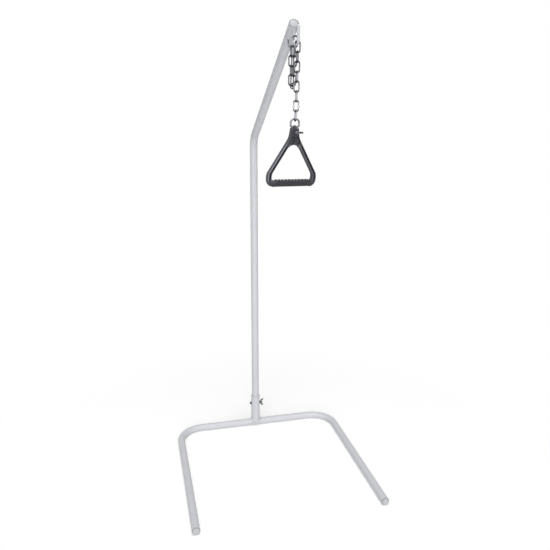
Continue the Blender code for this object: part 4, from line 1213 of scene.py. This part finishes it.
def handle():
    body = plate()
    arm_channels(body)
    neck_panels(body)
    foot_top = GRIP_TOP + HANDLE_EDGE
    boolean(body, block_tool(GRIP_REACH, HANDLE_THICKNESS, foot_top - 2 * GRIP_HEIGHT, foot_top))
    boolean(body, grip(), "UNION")
    slot = STRAP_WIDTH / 2 + SEAT_GAP
    deep = RING_WIRE / 2 + STRAP_THICKNESS + 2 * SEAT_GAP
    boolean(body, block_tool(slot, deep, -STRAP_LENGTH - SEAT_GAP, 0))
    modify(body, "WEIGHTED_NORMAL", keep_sharp=True, weight=70)
    settle(body, HANDLE, "grab_handle", "charcoal_plastic", "handle")


# Floor, light and camera

def floor():
    """A pale floor that keeps a soft shadow round the stand and runs out into white further off."""
    coat = bpy.data.materials.new("floor")
    nodes = Nodes(coat)
    nodes.tree.nodes.clear()
    seen = nodes.seen_directly()
    paint = nodes.node("BsdfDiffuse", {"Color": (FLOOR_COLOUR, FLOOR_COLOUR, FLOOR_COLOUR, 1)})[0]
    near = nodes.node("AddShader", {0: paint, 1: nodes.glow(nodes.times(seen, FLOOR_LIFT))})[0]
    distance = nodes.node("VectorMath", {0: nodes.node("TexCoord")["Object"]}, operation="LENGTH")["Value"]
    fade = nodes.spread(distance, FADE_START, FADE_END, interpolation_type="SMOOTHSTEP")
    shown = nodes.node("MixShader", {"Fac": nodes.times(seen, fade), 1: near, 2: nodes.glow(1.0)})[0]
    nodes.node("OutputMaterial", {"Surface": shown})
    bm = bmesh.new()
    bm.faces.new([bm.verts.new((x, y, 0)) for x, y in rectangle(FLOOR_SIZE / 2, FLOOR_SIZE / 2)])
    made = make_piece("floor", bm, coat)
    made.location.z = -FLOOR_GAP


def world():
    """White to the camera and in reflections; as light softer, and weaker from behind and from both sides."""
    made = bpy.data.worlds.new("studio")
    nodes = Nodes(made)
    background = nodes.tree.nodes["Background"].inputs
    background["Color"].default_value = WHITE
    way = nodes.node("SeparateXYZ", {"Vector": nodes.node("TexCoord")["Generated"]})
    soft = nodes.spread(way["Y"], WORLD_TURN, -WORLD_TURN, WORLD_BACK, WORLD_FRONT)
    flags = nodes.spread(nodes.times(way["X"], way["X"]), 0.0, 1.0, 1.0, 1.0 - WORLD_SIDE_FLAGS)
    level = nodes.spread(nodes.seen_directly(), 0.0, 1.0, nodes.times(soft, flags), 1.0)
    nodes.feed(background["Strength"], level)
    bpy.context.scene.world = made


def softbox(name, place, size, power):
    light = bpy.data.lights.new(name, "AREA")
    light.shape = "SQUARE"
    light.size = size
    light.energy = power
    lamp = show(name, light)
    lamp.location = place
    lamp.rotation_mode = "QUATERNION"
    lamp.rotation_quaternion = (LIT_PLACE - place).to_track_quat("-Z", "Y")


def camera():
    data = bpy.data.cameras.new("photograph")
    data.sensor_width = SENSOR_WIDTH
    data.lens = SENSOR_WIDTH * FOCAL_PIXELS / FRAME_PIXELS
    made = show("photograph", data)
    aim = turned(-CAMERA_YAW, "Z") @ turned(pi / 2 - CAMERA_PITCH, "X") @ turned(CAMERA_ROLL, "Z")
    made.matrix_world = standing(*CAMERA_OFFSET, aim)
    bpy.context.scene.camera = made


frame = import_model()
bpy.context.scene.view_settings.view_transform = "Standard"

CROSSBAR, BASE_RADIUS = middle_of_crossbar()
MAST_RADIUS = MAST_DIAMETER / 2 * cos(pi / CAD_SIDES)
ARM_END = Vector((0, -ARM_LENGTH * cos(ARM_RISE_ANGLE), MAST_HEIGHT + ARM_LENGTH * sin(ARM_RISE_ANGLE)))
HANDLE = handle_frame(joint("handle_tilt")[0])

PAINT = powder_coat("powder_coat", (0.63, 0.64, 0.67))
# The hook: the stand's powder coat painted darker, as painted shade.
SHADED_HOOK_PAINT = powder_coat("shaded_hook_powder_coat", (0.57, 0.58, 0.61))
WELD = weld_paint("painted_weld", (0.60, 0.61, 0.64))
GREY_PLASTIC = light_plastic("grey_plastic", (0.54, 0.55, 0.57))
PLUG_PLASTIC = light_plastic("plug_plastic", (0.55, 0.56, 0.58), BASE_RADIUS)
# The arm cap: the plugs' plastic painted darker, as painted shade.
SHADED_CAP_PLASTIC = light_plastic("shaded_cap_plastic", (0.44, 0.45, 0.465), MAST_RADIUS, CAP_LIT_SPOT)
# After its own colour: painted highlight on the arms (left, right), painted shade in the channels, and dirt
# and painted shade in the grip's valleys.
CHARCOAL = handle_plastic(
    "charcoal_plastic", (0.041, 0.042, 0.050), ((0.20, 0.205, 0.235), (0.095, 0.098, 0.115)),
    (0.028, 0.028, 0.034), (0.016, 0.016, 0.020),
)
ZINC = plated_steel("zinc_steel", (0.235, 0.24, 0.255), 0.34, 0.72)
# One plating painted in a lit copy and two shaded copies, with painted shade where the links meet.
CHAIN = chain_steel("chain_steel", (0.40, 0.405, 0.425), (0.11, 0.11, 0.12), 0.34)
HALF_SHADED_CHAIN = chain_steel("half_shaded_chain_steel", (0.29, 0.295, 0.31), (0.075, 0.075, 0.085), 0.36)
SHADED_CHAIN = chain_steel("shaded_chain_steel", (0.19, 0.193, 0.21), (0.045, 0.045, 0.052), 0.38)
DARK_ZINC = plated_steel("dark_zinc_steel", (0.135, 0.135, 0.15), 0.38, 0.7)
CLAMP_NUT_STEEL = nut_steel("clamp_nut_steel", (0.14, 0.14, 0.155), (0.095, 0.095, 0.108), CLAMP.boss)
NECK_NUT_STEEL = nut_steel("neck_nut_steel", (0.20, 0.20, 0.22), (0.070, 0.070, 0.082), NECK.boss)

camera()
world()
for box in SOFTBOXES:
    softbox(*box)
floor()

base_tube()
mast_and_arm()
socket()
weld_bead()
arm_hook()
chain_staple()
chain()
hanger_ring()
hanger_strap()
handle()
clamp_set()
neck_set()
